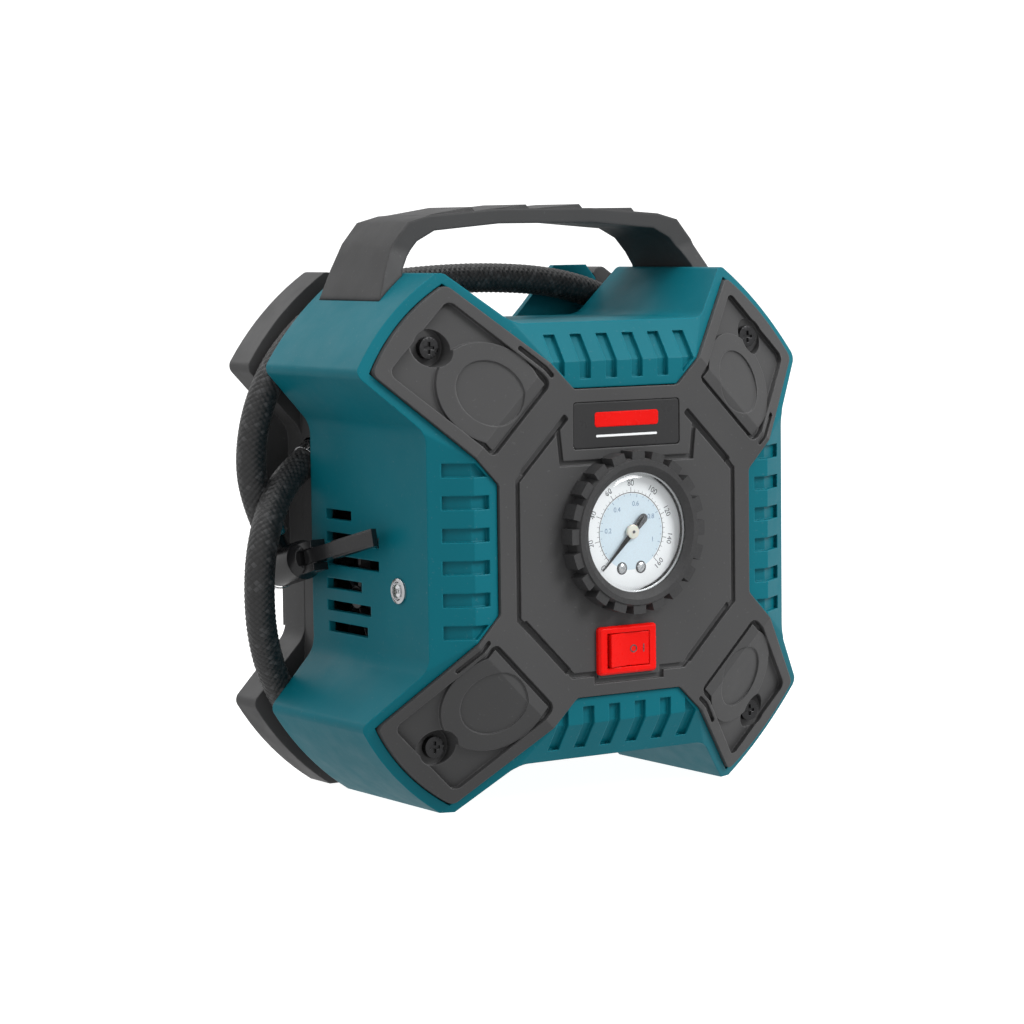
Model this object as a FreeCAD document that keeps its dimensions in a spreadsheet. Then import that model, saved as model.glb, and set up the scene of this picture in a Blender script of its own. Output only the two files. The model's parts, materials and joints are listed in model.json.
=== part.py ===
"""Portable 12 V air pump: an X-shaped housing round a geared motor and a small piston pump.

Design frame while building: X to the right, Y to the rear with Y = 0 on the flat of the front cover, Z up
with Z = 0 on the gauge-and-arms centre line.  Every sub-part's Placement then moves it to the part's own
frame, whose origin is on the floor under the middle of the housing.
"""
import FreeCAD, Part
import math
import os
import Sketcher

V = FreeCAD.Vector
X_AXIS, Y_AXIS, Z_AXIS = V(1, 0, 0), V(0, 1, 0), V(0, 0, 1)
ROOT_TWO = math.sqrt(2)
FAR = 400.0

doc = FreeCAD.newDocument("air_pump")

# ---------------------------------------------------------------- driving dimensions, millimetres
DIMENSIONS = {
    # housing outline: corner of an arm tip (tip_far, tip_near), corner of a recess (recess_far, recess_near)
    "tip_far": 83.6, "tip_near": 53.2, "tip_bow": 2.6, "recess_far": 67.4, "recess_near": 35.5,
    "corner_round": 3.0, "recess_round": 9.0, "centre_height": 82.0, "centre_depth": 48.0,
    # front surface: flat middle, arms that slope back beyond bend_radius, bevels towards the recesses
    "bend_radius": 59.4, "arm_slope": 0.55, "shell_setback": 1.6, "bevel_start": 55.6, "bevel_slope": 0.66,
    "wall": 2.4, "shell_flat": 1.1, "shell_rear": 77.1,
    # front cover
    "cover_far": 79.4, "cover_near": 53.2, "cover_inner": 47.2, "cover_side": 19.6, "cover_bow": 2.4,
    "cover_thickness": 4.6, "cover_gap": 0.3, "ledge": 3.4, "pocket_depth": 2.2,
    "cover_screw_radius": 85.6, "case_screw_radius": 62.0, "screw_head": 3.4, "screw_shank": 1.6,
    "well_radius": 5.7, "well_floor": 19.4, "well_rear": 21.4,
    # notches in the shell's bevels
    "notch_pitch": 9.76, "notch_width": 4.2, "notch_depth": 1.7,
    # rear cover, hose groove
    "groove_rear": 88.3, "rim_rear": 100.8, "hub_rear": 102.4, "hub_far": 64.0, "hub_near": 33.0,
    "core_tip": 81.6, "core_half": 10.0,
    # handle
    "strap_front": 42.4, "strap_rear": 72.8, "strap_foot": 36.8,
    # gauge
    "gauge_height": 2.8, "gauge_outer": 22.9, "dial_radius": 18.4, "bezel_front": 6.4, "lug_count": 20,
    "lug_height": 2.2, "case_depth": 17.0,
    # switch
    "switch_x": -1.5, "switch_z": -33.5, "switch_wide": 21.9, "switch_high": 14.9, "rocker_wide": 15.0,
    "rocker_high": 10.2,
    # lamp
    "lamp_y": 25.3, "lamp_z": -13.0, "lamp_radius": 2.75,
    # motor and pump
    "motor_y": 57.0, "motor_z": -18.0, "motor_radius": 17.9, "motor_length": 52.0, "gear_module": 0.8,
    "pinion_teeth": 10, "gear_teeth": 50, "gear_width": 7.0, "crank_throw": 8.0, "bore": 12.5,
    "cylinder_low": 27.0, "cylinder_high": 52.0, "piston_x": 14.0,
    # hose and chuck
    "hose_radius": 4.8, "chuck_x": -74.9, "chuck_y": 76.5, "chuck_z": -8.2, "chuck_tilt": 14.0,
    "barrel_radius": 6.2,
}
sheet = doc.addObject("Spreadsheet::Sheet", "Sheet")
for row, (alias, value) in enumerate(DIMENSIONS.items(), start=1):
    sheet.set(f"A{row}", alias)
    sheet.set(f"B{row}", str(value))
    sheet.setAlias(f"B{row}", alias)
doc.recompute()


def size(alias):
    return float(sheet.get(alias))


HOME = V(0, -size("centre_depth"), size("centre_height"))
PARTS = {}


def place(thing, label, at=V(0, 0, 0), turn=None):
    """Labels a sub-part and moves it from the design frame to the part's own frame."""
    thing.Label = label
    thing.Placement = FreeCAD.Placement(HOME + at, turn or FreeCAD.Rotation())
    PARTS[label] = thing
    return thing


def feature(label, shape, at=V(0, 0, 0), turn=None):
    """A sub-part whose shape neither a sketch nor a primitive describes."""
    own_placement = shape.Placement
    thing = doc.addObject("Part::Feature", label)
    thing.Shape = shape
    place(thing, label, at, turn)
    thing.Placement = thing.Placement.multiply(own_placement)
    return thing


def turned(label, profile, at=V(0, 0, 0), turn=None):
    """A body of revolution about its own Y axis.  profile holds (radius, y) pairs of sheet expressions."""
    body = doc.addObject("PartDesign::Body", label)
    sketch = body.newObject("Sketcher::SketchObject", label + "_profile")
    plane = [f for f in body.Origin.OriginFeatures if f.Role == "XY_Plane"][0]
    sketch.AttachmentSupport = [(plane, "")]
    sketch.MapMode = "FlatFace"
    points = [V(evaluate(r), evaluate(y), 0) for r, y in profile]
    count = len(points)
    for k in range(count):
        sketch.addGeometry(Part.LineSegment(points[k], points[(k + 1) % count]), False)
    for k in range(count):
        sketch.addConstraint(Sketcher.Constraint("Coincident", k, 2, (k + 1) % count, 1))
    for k, (radius, y) in enumerate(profile):
        for axis, expression, value in (("DistanceX", radius, points[k].x), ("DistanceY", y, points[k].y)):
            number = sketch.addConstraint(Sketcher.Constraint(axis, -1, 1, k, 1, value))
            if any(letter.isalpha() for letter in str(expression)):
                sketch.setExpression(f"Constraints[{number}]", bind(expression))
    revolution = body.newObject("PartDesign::Revolution", label + "_turned")
    revolution.Profile = sketch
    revolution.ReferenceAxis = (sketch, ["V_Axis"])
    revolution.Angle = 360
    return place(body, label, at, turn)


def names_in(expression):
    words, word = [], ""
    for letter in str(expression) + " ":
        if letter.isalpha() or letter == "_":
            word += letter
        else:
            if word:
                words.append(word)
            word = ""
    return sorted(set(words), key=len, reverse=True)


def bind(expression):
    """The same expression with each alias written as a cell of the sheet."""
    text = str(expression)
    for k, word in enumerate(names_in(expression)):
        text = text.replace(word, f"@{k}@")
    for k, word in enumerate(names_in(expression)):
        text = text.replace(f"@{k}@", f"Sheet.{word}")
    return text


def evaluate(expression):
    """The value of a sum of numbers and aliases, worked out by the sheet itself."""
    if not any(letter.isalpha() for letter in str(expression)):
        return float(expression)
    sheet.set("D1", "=" + str(expression))
    sheet.recompute()
    return float(sheet.get("D1"))


# ---------------------------------------------------------------- shared outlines and surfaces
def x_face(far, near, bow, inner, side, y):
    """The X outline as a face across Y: four arms with bowed tips, and four straight recesses."""
    edges = []
    for k in range(4):
        rotation = FreeCAD.Rotation(Y_AXIS, -90 * k)
        corners = [V(inner, y, side), V(far, y, near), V(near, y, far), V(side, y, inner)]
        crown = V((far + near) / 2 + bow / ROOT_TWO, y, (far + near) / 2 + bow / ROOT_TWO)
        following = rotation.multVec(V(-side, y, inner))
        a, b, c, d = [rotation.multVec(p) for p in corners]
        edges.append(Part.LineSegment(a, b).toShape())
        edges.append(Part.Arc(b, rotation.multVec(crown), c).toShape())
        edges.append(Part.LineSegment(c, d).toShape())
        edges.append(Part.LineSegment(d, following).toShape())
    return Part.Face(Part.Wire(Part.__sortEdges__(edges)))


def along_y(edge):
    return abs(edge.tangentAt(edge.FirstParameter).dot(Y_AXIS)) > 0.999 and edge.Curve.TypeId == "Part::GeomLine"


def upright_edges(solid, reach):
    """The straight edges along Y at that distance from the middle."""
    return [e for e in solid.Edges if along_y(e)
            and abs(math.hypot(e.CenterOfMass.x, e.CenterOfMass.z) - reach) < 0.1]


def x_prism(far, near, bow, inner, side, front, rear, rounding=0.0, recess_rounding=0.0):
    """The X outline as a prism along Y; the recess corners may be rounder than the arm corners."""
    solid = x_face(far, near, bow, inner, side, front).extrude(V(0, rear - front, 0))
    if recess_rounding:
        solid = solid.makeFillet(recess_rounding, upright_edges(solid, math.hypot(inner, side)))
        solid = solid.makeFillet(rounding, upright_edges(solid, math.hypot(far, near)))
    elif rounding:
        solid = solid.makeFillet(rounding, [e for e in solid.Edges if along_y(e)])
    return solid


def half_space(point, normal):
    """A very large block that fills the side that normal points to, its face through point."""
    box = Part.makeBox(2 * FAR, 2 * FAR, FAR, V(-FAR, -FAR, 0))
    box.Placement = FreeCAD.Placement(point, FreeCAD.Rotation(Z_AXIS, normal))
    return box


def nose(flat, diagonal_shift, bevel_shift=None):
    """Everything behind the front surface: a flat, four arm slopes and, if asked for, four recess bevels."""
    solid = Part.makeBox(2 * FAR, FAR, 2 * FAR, V(-FAR, flat, -FAR))
    slope, bend = size("arm_slope"), size("bend_radius")
    for sx in (-1, 1):
        for sz in (-1, 1):
            outward = V(sx, 0, sz) / ROOT_TWO
            normal = outward * slope - Y_AXIS
            solid = solid.cut(half_space(outward * bend + V(0, diagonal_shift, 0), normal))
    if bevel_shift is not None:
        for outward in (X_AXIS, -X_AXIS, Z_AXIS, -Z_AXIS):
            normal = outward * size("bevel_slope") - Y_AXIS
            start = outward * size("bevel_start") + V(0, bevel_shift, 0)
            solid = solid.cut(half_space(start, normal))
    return solid


def cylinder(radius, y0, y1, x=0.0, z=0.0):
    """A plain cylinder along Y in the design frame."""
    return Part.makeCylinder(radius, y1 - y0, V(x, y0, z), Y_AXIS)


def joined(shapes):
    whole = shapes[0].fuse(list(shapes[1:])) if len(shapes) > 1 else shapes[0]
    return whole.removeSplitter()


ARMS = [(sx, sz) for sx in (-1, 1) for sz in (-1, 1)]


def arm_frame(sx, sz):
    """The rotation that takes +Z, the way along an upright arm, to the arm (sx, sz)."""
    return FreeCAD.Rotation(Y_AXIS, math.degrees(math.atan2(sx, sz)))


def turned_to(shape, rotation):
    moved = shape.copy()
    moved.Placement = FreeCAD.Placement(V(0, 0, 0), rotation).multiply(moved.Placement)
    return moved


def arm_centres(radius):
    """The four points on the arms' centre lines at that distance from the middle."""
    step = radius / ROOT_TWO
    return [(sx * step, sz * step) for sx, sz in ARMS]


def lowest_flats(solid):
    """Cuts the lower corners level, so that the housing stands on four narrow flats."""
    return solid.cut(half_space(V(0, 0, -size("centre_height")), -Z_AXIS))


# ---------------------------------------------------------------- front shell
def shell_outline(inset, front, rear, rounding=0.0, recess_rounding=0.0):
    return x_prism(size("tip_far") - inset, size("tip_near") - 0.41 * inset, size("tip_bow"),
                   size("recess_far") - inset, size("recess_near") - 0.41 * inset, front, rear, rounding,
                   recess_rounding)


def core_outline(inset, front, rear):
    """The hub inside the hose groove: its arms end short, so that the hose lies in the outline."""
    tip, half = size("core_tip") - inset, size("core_half") - inset
    return x_prism((tip + half) / ROOT_TWO, (tip - half) / ROOT_TWO, 0.8, size("hub_far") - inset,
                   size("hub_near") - 0.41 * inset, front, rear, 3.0)


def cover_outline(inset, front, rear, rounding=0.0):
    return x_prism(size("cover_far") - inset, size("cover_near") - 0.41 * inset, size("cover_bow"),
                   size("cover_inner") - inset, size("cover_side") - 0.41 * inset, front, rear, rounding)


def make_front_shell():
    wall, setback, flat = size("wall"), size("shell_setback"), size("shell_flat")
    rear = size("shell_rear")
    outer = shell_outline(0, 0, rear, size("corner_round"), size("recess_round"))
    outer = outer.common(nose(flat, setback, flat))
    inner = shell_outline(wall, 0, rear - wall).common(nose(flat + wall, setback + wall, flat + wall))
    shell = outer.cut(inner)
    # the front cover sits in this step
    seat_depth = size("cover_thickness") + 0.1
    step = cover_outline(-size("cover_gap"), -1, rear).cut(nose(seat_depth, seat_depth))
    ledge_plate = cover_outline(-2.4, -1, rear).common(nose(seat_depth, seat_depth))
    ledge_plate = ledge_plate.cut(nose(seat_depth + 2.0, seat_depth + 2.0))
    shell = shell.fuse(ledge_plate.common(outer)).cut(step)
    shell = shell.cut(cover_outline(size("ledge"), -1, 40.0))
    # notches across the flat and the bevel of each side
    pitch, width = size("notch_pitch"), size("notch_width")
    floor = nose(flat + size("notch_depth"), setback, flat + size("notch_depth"))
    rim_of_cover = cover_outline(-1.8, -6, 40)
    for side in range(4):
        rotation = FreeCAD.Rotation(Y_AXIS, 90 * side)
        for k in range(6):
            cutter = Part.makeBox(13.4, 30, width, V(50.3, -5, (k - 2.5) * pitch - width / 2)).cut(floor)
            cutter.Placement = FreeCAD.Placement(V(0, 0, 0), rotation)
            shell = shell.cut(cutter.cut(rim_of_cover))
    # posts for the front cover's screws and for the rear cover's screws
    behind_cover = nose(seat_depth, seat_depth)
    for sx, sz in ARMS:
        turn = arm_frame(sx, sz)
        for radius, depth, rib in ((size("cover_screw_radius"), 42.0, (-1.0, 2.0, 0.0, 14.0)),
                                   (size("case_screw_radius"), rear - 1.0, (-32.0, 64.0, -0.9, 1.8))):
            post = cylinder(4.2, 8, depth, 0, radius)
            web = Part.makeBox(rib[1], 32, rib[3], V(rib[0], 8, radius + rib[2]))
            post = turned_to(post.fuse(web), turn).common(behind_cover).common(outer)
            shell = shell.fuse(post)
            hole = cylinder(size("screw_shank") + 0.05, depth - 26, depth + 1, 0, radius)
            if radius == size("cover_screw_radius"):
                hole = cylinder(size("screw_shank") + 0.05, 8, depth - 4, 0, radius)
                room = cylinder(size("well_radius") + 1.8, 0, size("well_rear") + 0.1, 0, radius)
                shell = shell.cut(turned_to(room, turn))
            shell = shell.cut(turned_to(hole, turn))
    # open back, closed only behind the hose groove
    shell = shell.cut(core_outline(1.6, rear - wall - 1, rear + 1).cut(
        joined([cylinder(4.2, 0, 100, x, z) for x, z in arm_centres(size("case_screw_radius"))])))
    # lamp hole and cooling slots in the left wall
    lamp = Part.makeCylinder(size("lamp_radius") + 1.05, 12, V(-72, size("lamp_y"), size("lamp_z")), X_AXIS)
    shell = shell.cut(lamp)
    for height, start, end in VENTS:
        slot = Part.makeBox(12, end - start, VENT_HEIGHT, V(-72, start, height - VENT_HEIGHT / 2))
        shell = shell.cut(slot.fuse(slot.mirror(V(0, 0, 0), X_AXIS)))
    return feature("front_shell", lowest_flats(shell.removeSplitter()))


VENT_HEIGHT = 3.2
VENTS = [(7.8, 52.8, 68.0), (0.6, 36.8, 68.0), (-6.6, 36.8, 68.0), (-13.9, 47.2, 68.0), (-20.9, 42.0, 68.0),
         (-27.6, 44.0, 67.2)]


# ---------------------------------------------------------------- front cover
def rounded_box(width, length, centre, y0, y1, radius):
    """A box along Y whose four upright edges are round; centre is (across, along)."""
    box = Part.makeBox(width, y1 - y0, length, V(centre[0] - width / 2, y0, centre[1] - length / 2))
    return box.makeFillet(radius, [e for e in box.Edges if along_y(e)])


def make_front_cover():
    thick = size("cover_thickness")
    plate = cover_outline(0, -1, 60, 2.4).common(nose(0, 0)).cut(nose(thick, thick))
    depth = size("pocket_depth")
    # round wells behind the arms, in which the screws sit deep
    well = cylinder(size("well_radius") + 1.5, 12.0, size("well_rear"), 0, size("cover_screw_radius"))
    plate = plate.fuse([turned_to(well, arm_frame(sx, sz)).common(nose(1, 1)) for sx, sz in ARMS])
    for sx, sz in ARMS:
        turn = arm_frame(sx, sz)
        pocket = turned_to(rounded_box(30.5, 36.5, (0, 72.6), -5, 40, 2.6), turn).cut(nose(depth, depth))
        # D-shaped platform with a shallow round seat, standing in the pocket
        round_seat = cylinder(15.2, -5, 40, 0, 66.3).common(Part.makeBox(40, 60, 60, V(-20, -10, 56.0)))
        platform = turned_to(round_seat.fuse(Part.makeBox(27, 60, 10.4, V(-13.5, -10, 55.9))), turn)
        pocket = pocket.cut(platform.common(nose(0.7, 0.7)))
        disc = turned_to(cylinder(9.8, -5, 40, 0, 66.3), turn).cut(nose(1.3, 1.3))
        counterbore = cylinder(size("well_radius"), -5, size("well_floor"), 0, size("cover_screw_radius"))
        counterbore = turned_to(counterbore, turn)
        hole = turned_to(cylinder(size("screw_shank") + 0.25, -5, 60, 0, size("cover_screw_radius")), turn)
        corner = turned_to(rounded_box(23.6, 2.4, (0, 43.6), -5, 40, 0.9), turn).cut(nose(1.9, 1.9))
        beside = turned_to(rounded_box(1.6, 13.0, (17.0, 62.0), -5, 40, 0.7), turn).cut(nose(1.6, 1.6))
        for cutter in (pocket, disc, counterbore, hole, corner, beside):
            plate = plate.cut(cutter)
    # groove round the instrument panel, stepping round the name plate and the switch
    half = [V(41.6, 0, 20.6), V(25.2, 0, 37.6), V(23.8, 0, 25.6)]
    lower = [V(41.6, 0, -22.0), V(21.4, 0, -41.2), V(13.2, 0, -41.2), V(13.2, 0, -43.6)]
    right = list(reversed(half)) + lower
    left = [V(-p.x, p.y, p.z) for p in reversed(right)]
    panel = Part.Face(Part.makePolygon(right + left + right[:1]))
    inner = panel.makeOffset2D(-1.7, 2)
    plate = plate.cut(panel.cut(inner).extrude(V(0, 1.2, 0)))
    # openings for the gauge, the switch and the blank name plate
    gauge_z = size("gauge_height")
    plate = plate.cut(cylinder(22.3, -5, 20, 0, gauge_z))
    wide, high = size("switch_wide") - 2.6, size("switch_high") - 2.2
    plate = plate.cut(Part.makeBox(wide, 30, high, V(size("switch_x") - wide / 2, -5,
                                                     size("switch_z") - high / 2)))
    plate = plate.cut(rounded_box(40.4, 14.4, (0, 36.0), -5, 1.0, 1.2))
    return feature("front_cover", plate.removeSplitter())


# ---------------------------------------------------------------- rear cover
def make_rear_cover():
    wall, rear, hub = size("wall"), size("rim_rear"), size("hub_rear")
    groove, shell_rear = size("groove_rear"), size("shell_rear")
    rim = x_prism(size("tip_far"), size("tip_near"), size("tip_bow"), size("hub_far") + 0.1,
                  size("hub_near"), groove, rear, size("corner_round"), size("recess_round"))
    outer = rim.fuse([core_outline(0, shell_rear + 0.1, rear),
                      Part.makeBox(2 * size("hub_far"), hub - rear + 4, 62, V(-size("hub_far"), rear - 4, -31))])
    inside = core_outline(wall, 70, rear - wall)
    rim_inside = x_prism(size("tip_far") - wall, size("tip_near") - 1, size("tip_bow"), size("hub_far") - wall,
                         size("hub_near") - 1, groove + wall, rear - wall)
    cover = outer.cut(inside.fuse(rim_inside))
    # flange that closes most of the left recess behind the hose
    flange = Part.Face(Part.makePolygon([V(-63, 96.6, -12), V(-76, 96.6, -4), V(-76, 96.6, 38), V(-66, 96.6, 46),
                                         V(-63, 96.6, 46), V(-63, 96.6, -12)])).extrude(V(0, 4.0, 0))
    # seat for the hose guide: a pocket in the rim with a slightly wider wall behind it
    backing = guide_outline(1.2, groove, groove + 4.4).common(rim)
    cover = cover.fuse([flange, backing]).cut(guide_outline(0.05, groove - 1, groove + 2.4))
    spigot = core_outline(1.8, shell_rear - wall, shell_rear + 4).cut(core_outline(1.8 + wall, 70, 90))
    for x, z in arm_centres(size("case_screw_radius")):
        spigot = spigot.cut(cylinder(5.0, 60, 90, x, z))
        cover = cover.fuse(cylinder(4.6, shell_rear + 0.1, rear - 1, x, z))
        cover = cover.cut(cylinder(size("screw_shank") + 0.25, 60, 120, x, z))
        cover = cover.cut(cylinder(size("screw_head") + 0.4, rear - 8, 120, x, z))
    cover = cover.fuse(spigot)
    # hose outlet in the left wall, lead inlet low in the back
    outlet = Part.makeCylinder(5.45, 24, HOSE_ROUTE[0] + hose_direction() * 8, hose_direction() * -1)
    cover = cover.cut(outlet).cut(cylinder(4.6, 90, 120, GLAND[0], GLAND[1]))
    for k in range(7):
        slot = rounded_box(34, 2.6, (0, 6.0 - 5.2 * k + 8), 90, 120, 1.2)
        cover = cover.cut(slot)
    return feature("rear_cover", lowest_flats(cover.removeSplitter()))


GLAND = (29.0, -44.0)


def guide_outline(growth, front, rear):
    """The upright tab behind the hose, in the corner between the top recess and the right arm."""
    corners = [V(18, front, 66), V(23, front, 71), V(34.5, front, 83.6), V(47.5, front, 83.6),
               V(51.5, front, 79), V(50, front, 66)]
    face = Part.Face(Part.makePolygon(corners + corners[:1]))
    if growth:
        face = face.makeOffset2D(growth, 2)
    return face.extrude(V(0, rear - front, 0))


def make_hose_guide():
    groove = size("groove_rear")
    feature("hose_guide", guide_outline(0.0, groove + 0.05, groove + 2.35))


def hose_direction():
    """The way the hose leaves the housing."""
    return (HOSE_ROUTE[1] - HOSE_ROUTE[0]).normalize()


# ---------------------------------------------------------------- handle
def strap_top(x):
    """Height of the strap's upper face: level in the middle, falling gently to both sides."""
    return 102.2 - 0.0728 * max(0.0, abs(x) - 17.6)


def make_handle():
    front, rear = size("strap_front"), size("strap_rear")
    outer = [V(66.5, front, 72.9), V(61.6, front, 83.5), V(57.1, front, 91.8), V(51.5, front, 98.3),
             V(43.7, front, 100.3), V(17.6, front, 102.2)]
    inner = [V(57.0, front, 78.0), V(55.4, front, 83.6), V(52.6, front, 87.8), V(48.4, front, 92.4),
             V(42.0, front, 95.6), V(17.6, front, 97.6)]
    mirror = [V(-p.x, p.y, p.z) for p in reversed(outer)]
    mirror_inner = [V(-p.x, p.y, p.z) for p in inner]
    ring = outer + mirror + mirror_inner + list(reversed(inner))
    strap_face = Part.Face(Part.makePolygon(ring + ring[:1]))
    strap = strap_face.extrude(V(0, rear - front, 0))
    # the feet widen forwards towards the housing
    foot = size("strap_foot")
    flare = Part.Face(Part.makePolygon([V(-80, front, 90), V(-80, foot + 1.5, 79), V(-80, foot, 74), V(-80, foot, 60),
                                        V(-80, front, 60), V(-80, front, 90)])).extrude(V(160, 0, 0))
    feet = strap_face.extrude(V(0, foot - front, 0)).common(flare)
    strap = strap.fuse(feet)
    # four grip ridges that rise towards the right and follow the crown
    ridge_pitch, ridge_length, ridge_rise = 20.6, 17.6, 1.3
    for k in range(4):
        right = 36.6 - k * ridge_pitch
        left, peak = right - ridge_length, right - 1.2
        outline = [V(right, front + 3, strap_top(right) - 1), V(left, front + 3, strap_top(left) - 1),
                   V(left, front + 3, strap_top(left) + 0.05), V(peak, front + 3, strap_top(peak) + ridge_rise),
                   V(right, front + 3, strap_top(right) + 0.1)]
        ramp = Part.Face(Part.makePolygon(outline + outline[:1]))
        strap = strap.fuse(ramp.extrude(V(0, rear - front - 6, 0)))
    strap = strap.cut(shell_outline(-0.02, 0, 90))
    return feature("carry_handle", strap.removeSplitter())


# ---------------------------------------------------------------- gauge
def make_gauge():
    z = size("gauge_height")
    centre = V(0, 0, z)
    turned_ring = Part.Face(Part.makePolygon([
        V(size("gauge_outer"), 0, 0), V(size("gauge_outer"), -5.0, 0), V(22.2, -size("bezel_front"), 0),
        V(20.6, -size("bezel_front"), 0), V(size("dial_radius"), -5.0, 0), V(size("dial_radius"), -4.4, 0),
        V(20.4, -4.4, 0), V(20.4, 0, 0), V(size("gauge_outer"), 0, 0)])).revolve(V(0, 0, 0), Y_AXIS, 360)
    lugs = []
    for k in range(int(size("lug_count"))):
        lug = Part.makeBox(size("lug_height") + 0.6, 5.8, 4.7, V(size("gauge_outer") - 0.6, -5.9, -2.35))
        lug.Placement = FreeCAD.Placement(V(0, 0, 0), FreeCAD.Rotation(Y_AXIS, 360.0 * k / size("lug_count")))
        lugs.append(lug)
    bezel = turned_ring.fuse(lugs).common(
        Part.makeCylinder(size("gauge_outer") + size("lug_height"), 6.4, V(0, -6.4, 0), Y_AXIS))
    feature("gauge_bezel", bezel.removeSplitter(), centre)
    turned("gauge_case", [("0", "case_depth"), ("20.2", "case_depth"), ("20.2", "5.4"), ("22.1", "5.4"),
                          ("22.1", "0.05"), ("20.3", "0.05"), ("20.3", "-0.4"), ("18.9", "-0.4"),
                          ("18.9", "case_depth - 1.5"), ("0", "case_depth - 1.5")], centre)
    turned("gauge_dial", [("1.3", "-0.5"), ("20.2", "-0.5"), ("20.2", "-1.1"), ("1.3", "-1.1")], centre)
    turned("gauge_lens", [("0", "-4.1"), ("0", "-5.1"), ("8", "-4.95"), ("14", "-4.5"), ("18.3", "-4.25"),
                          ("20.3", "-4.15"), ("20.3", "-2.95"), ("0", "-2.95")], centre)
    # pointer: boss, tapered blade to the lower left and a short counterweight
    boss = cylinder(2.2, -2.6, -1.4)
    blade = Part.Face(Part.makePolygon([V(-0.9, -2.2, 0), V(-0.2, -2.2, 14.5), V(0.2, -2.2, 14.5),
                                        V(0.9, -2.2, 0), V(-0.9, -2.2, 0)])).extrude(V(0, 0.4, 0))
    tail = Part.Face(Part.makePolygon([V(-0.8, -2.2, 0), V(-1.7, -2.2, -7), V(1.7, -2.2, -7),
                                       V(0.8, -2.2, 0), V(-0.8, -2.2, 0)])).extrude(V(0, 0.4, 0))
    stem = cylinder(0.9, -1.8, 9.0)
    pointer = boss.fuse([blade, tail, stem])
    pointer.rotate(V(0, 0, 0), Y_AXIS, 225)
    feature("gauge_needle", pointer.removeSplitter(), centre)
    # movement: frame plates with the stem's bearing, and the curved pressure tube
    plate = Part.makeBox(16, 1.2, 20, V(-8, 2.0, -10)).fuse(Part.makeBox(16, 1.2, 20, V(-8, 10.0, -10)))
    plate = plate.fuse([Part.makeBox(2.4, 9.2, 4, V(-8, 2.0, -10)), Part.makeBox(2.4, 9.2, 4, V(5.6, 2.0, -10))])
    feature("gauge_movement", plate.cut(cylinder(0.96, 0, 20)).removeSplitter(), centre)
    tube = Part.makeTorus(14.6, 1.7, V(0, 6.5, 0), Y_AXIS, 0, 360, 290)
    tube.rotate(V(0, 6.5, 0), Y_AXIS, -60)
    feature("pressure_tube", tube, centre)
    screws = [cylinder(1.25, -1.6, -1.15, x, -11.2).fuse(cylinder(0.6, -1.2, 3.0, x, -11.2)) for x in (-3.6, 3.6)]
    feature("dial_screws", Part.makeCompound(screws), centre)
    stem_block = cylinder(4.6, size("case_depth") + 0.05, size("case_depth") + 9)
    feature("gauge_stem", stem_block.cut(cylinder(1.4, 0, 60)), centre)


# ---------------------------------------------------------------- switch
def make_switch():
    x, z = size("switch_x"), size("switch_z")
    wide, high = size("switch_wide"), size("switch_high")
    rocker_wide, rocker_high = size("rocker_wide"), size("rocker_high")
    frame = rounded_box(wide, high, (0, 0), -1.9, -0.05, 1.2)
    edge = [e for e in frame.Edges if e.BoundBox.YMax < -1.8]
    frame = frame.makeChamfer(0.7, edge)
    frame = frame.fuse(Part.makeBox(wide - 2.9, 17.0, high - 2.5, V(-(wide - 2.9) / 2, -1.0, -(high - 2.5) / 2)))
    well = Part.makeBox(rocker_wide + 1.1, 8.2, rocker_high + 0.5,
                        V(-(rocker_wide + 1.1) / 2, -3.0, -(rocker_high + 0.5) / 2))
    pivots = Part.makeCylinder(1.06, high - 3.2, V(0, ROCKER_PIVOT, -(high - 3.2) / 2), Z_AXIS)
    feature("switch_housing", frame.cut(well).cut(pivots).removeSplitter(), V(x, 0, z))
    half = rocker_wide / 2
    profile = [V(-half, -2.35, 0), V(0, -1.1, 0), V(half, -2.35, 0), V(half - 0.9, 2.6, 0), V(1.6, 4.2, 0),
               V(-1.6, 4.2, 0), V(-half + 0.9, 2.6, 0)]
    paddle = Part.Face(Part.makePolygon(profile + profile[:1])).extrude(V(0, 0, rocker_high))
    paddle.translate(V(0, 0, -rocker_high / 2))
    axle = Part.makeCylinder(1.0, high - 3.6, V(0, ROCKER_PIVOT, -(high - 3.6) / 2), Z_AXIS)
    rocker = paddle.fuse(axle).removeSplitter()
    rocker.rotate(V(0, ROCKER_PIVOT, 0), Z_AXIS, ROCKER_TILT)
    feature("switch_rocker", rocker, V(x, 0, z))
    blades = [Part.makeBox(0.8, 7.0, 6.3, V(bx - 0.4, 16.1, -3.15)) for bx in (-5.0, 5.0)]
    feature("switch_terminals", Part.makeCompound(blades), V(x, 0, z))


ROCKER_PIVOT = 1.6
ROCKER_TILT = 4.2


# ---------------------------------------------------------------- lamp
def make_lamp():
    at, turn = V(-size("recess_far"), size("lamp_y"), size("lamp_z")), FreeCAD.Rotation(Z_AXIS, -90)
    # local Y runs into the housing
    turned("lamp_ring", [("lamp_radius + 0.05", "-0.9"), ("lamp_radius + 1.2", "-0.7"), ("lamp_radius + 1.2", "-0.05"),
                         ("lamp_radius + 1", "-0.05"), ("lamp_radius + 1", "3.4"), ("lamp_radius + 0.05", "3.4")],
           at, turn)
    turned("lamp_lens", [("0", "-1.7"), ("1.1", "-1.5"), ("2.1", "-0.9"), ("lamp_radius", "0.2"),
                         ("lamp_radius", "2.6"), ("0", "2.6")], at, turn)
    board = Part.makeBox(13, 1.6, 13, V(-6.5, 3.5, -6.5)).fuse(cylinder(1.4, 2.65, 3.6))
    feature("lamp_board", board.removeSplitter(), at, turn)


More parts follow.
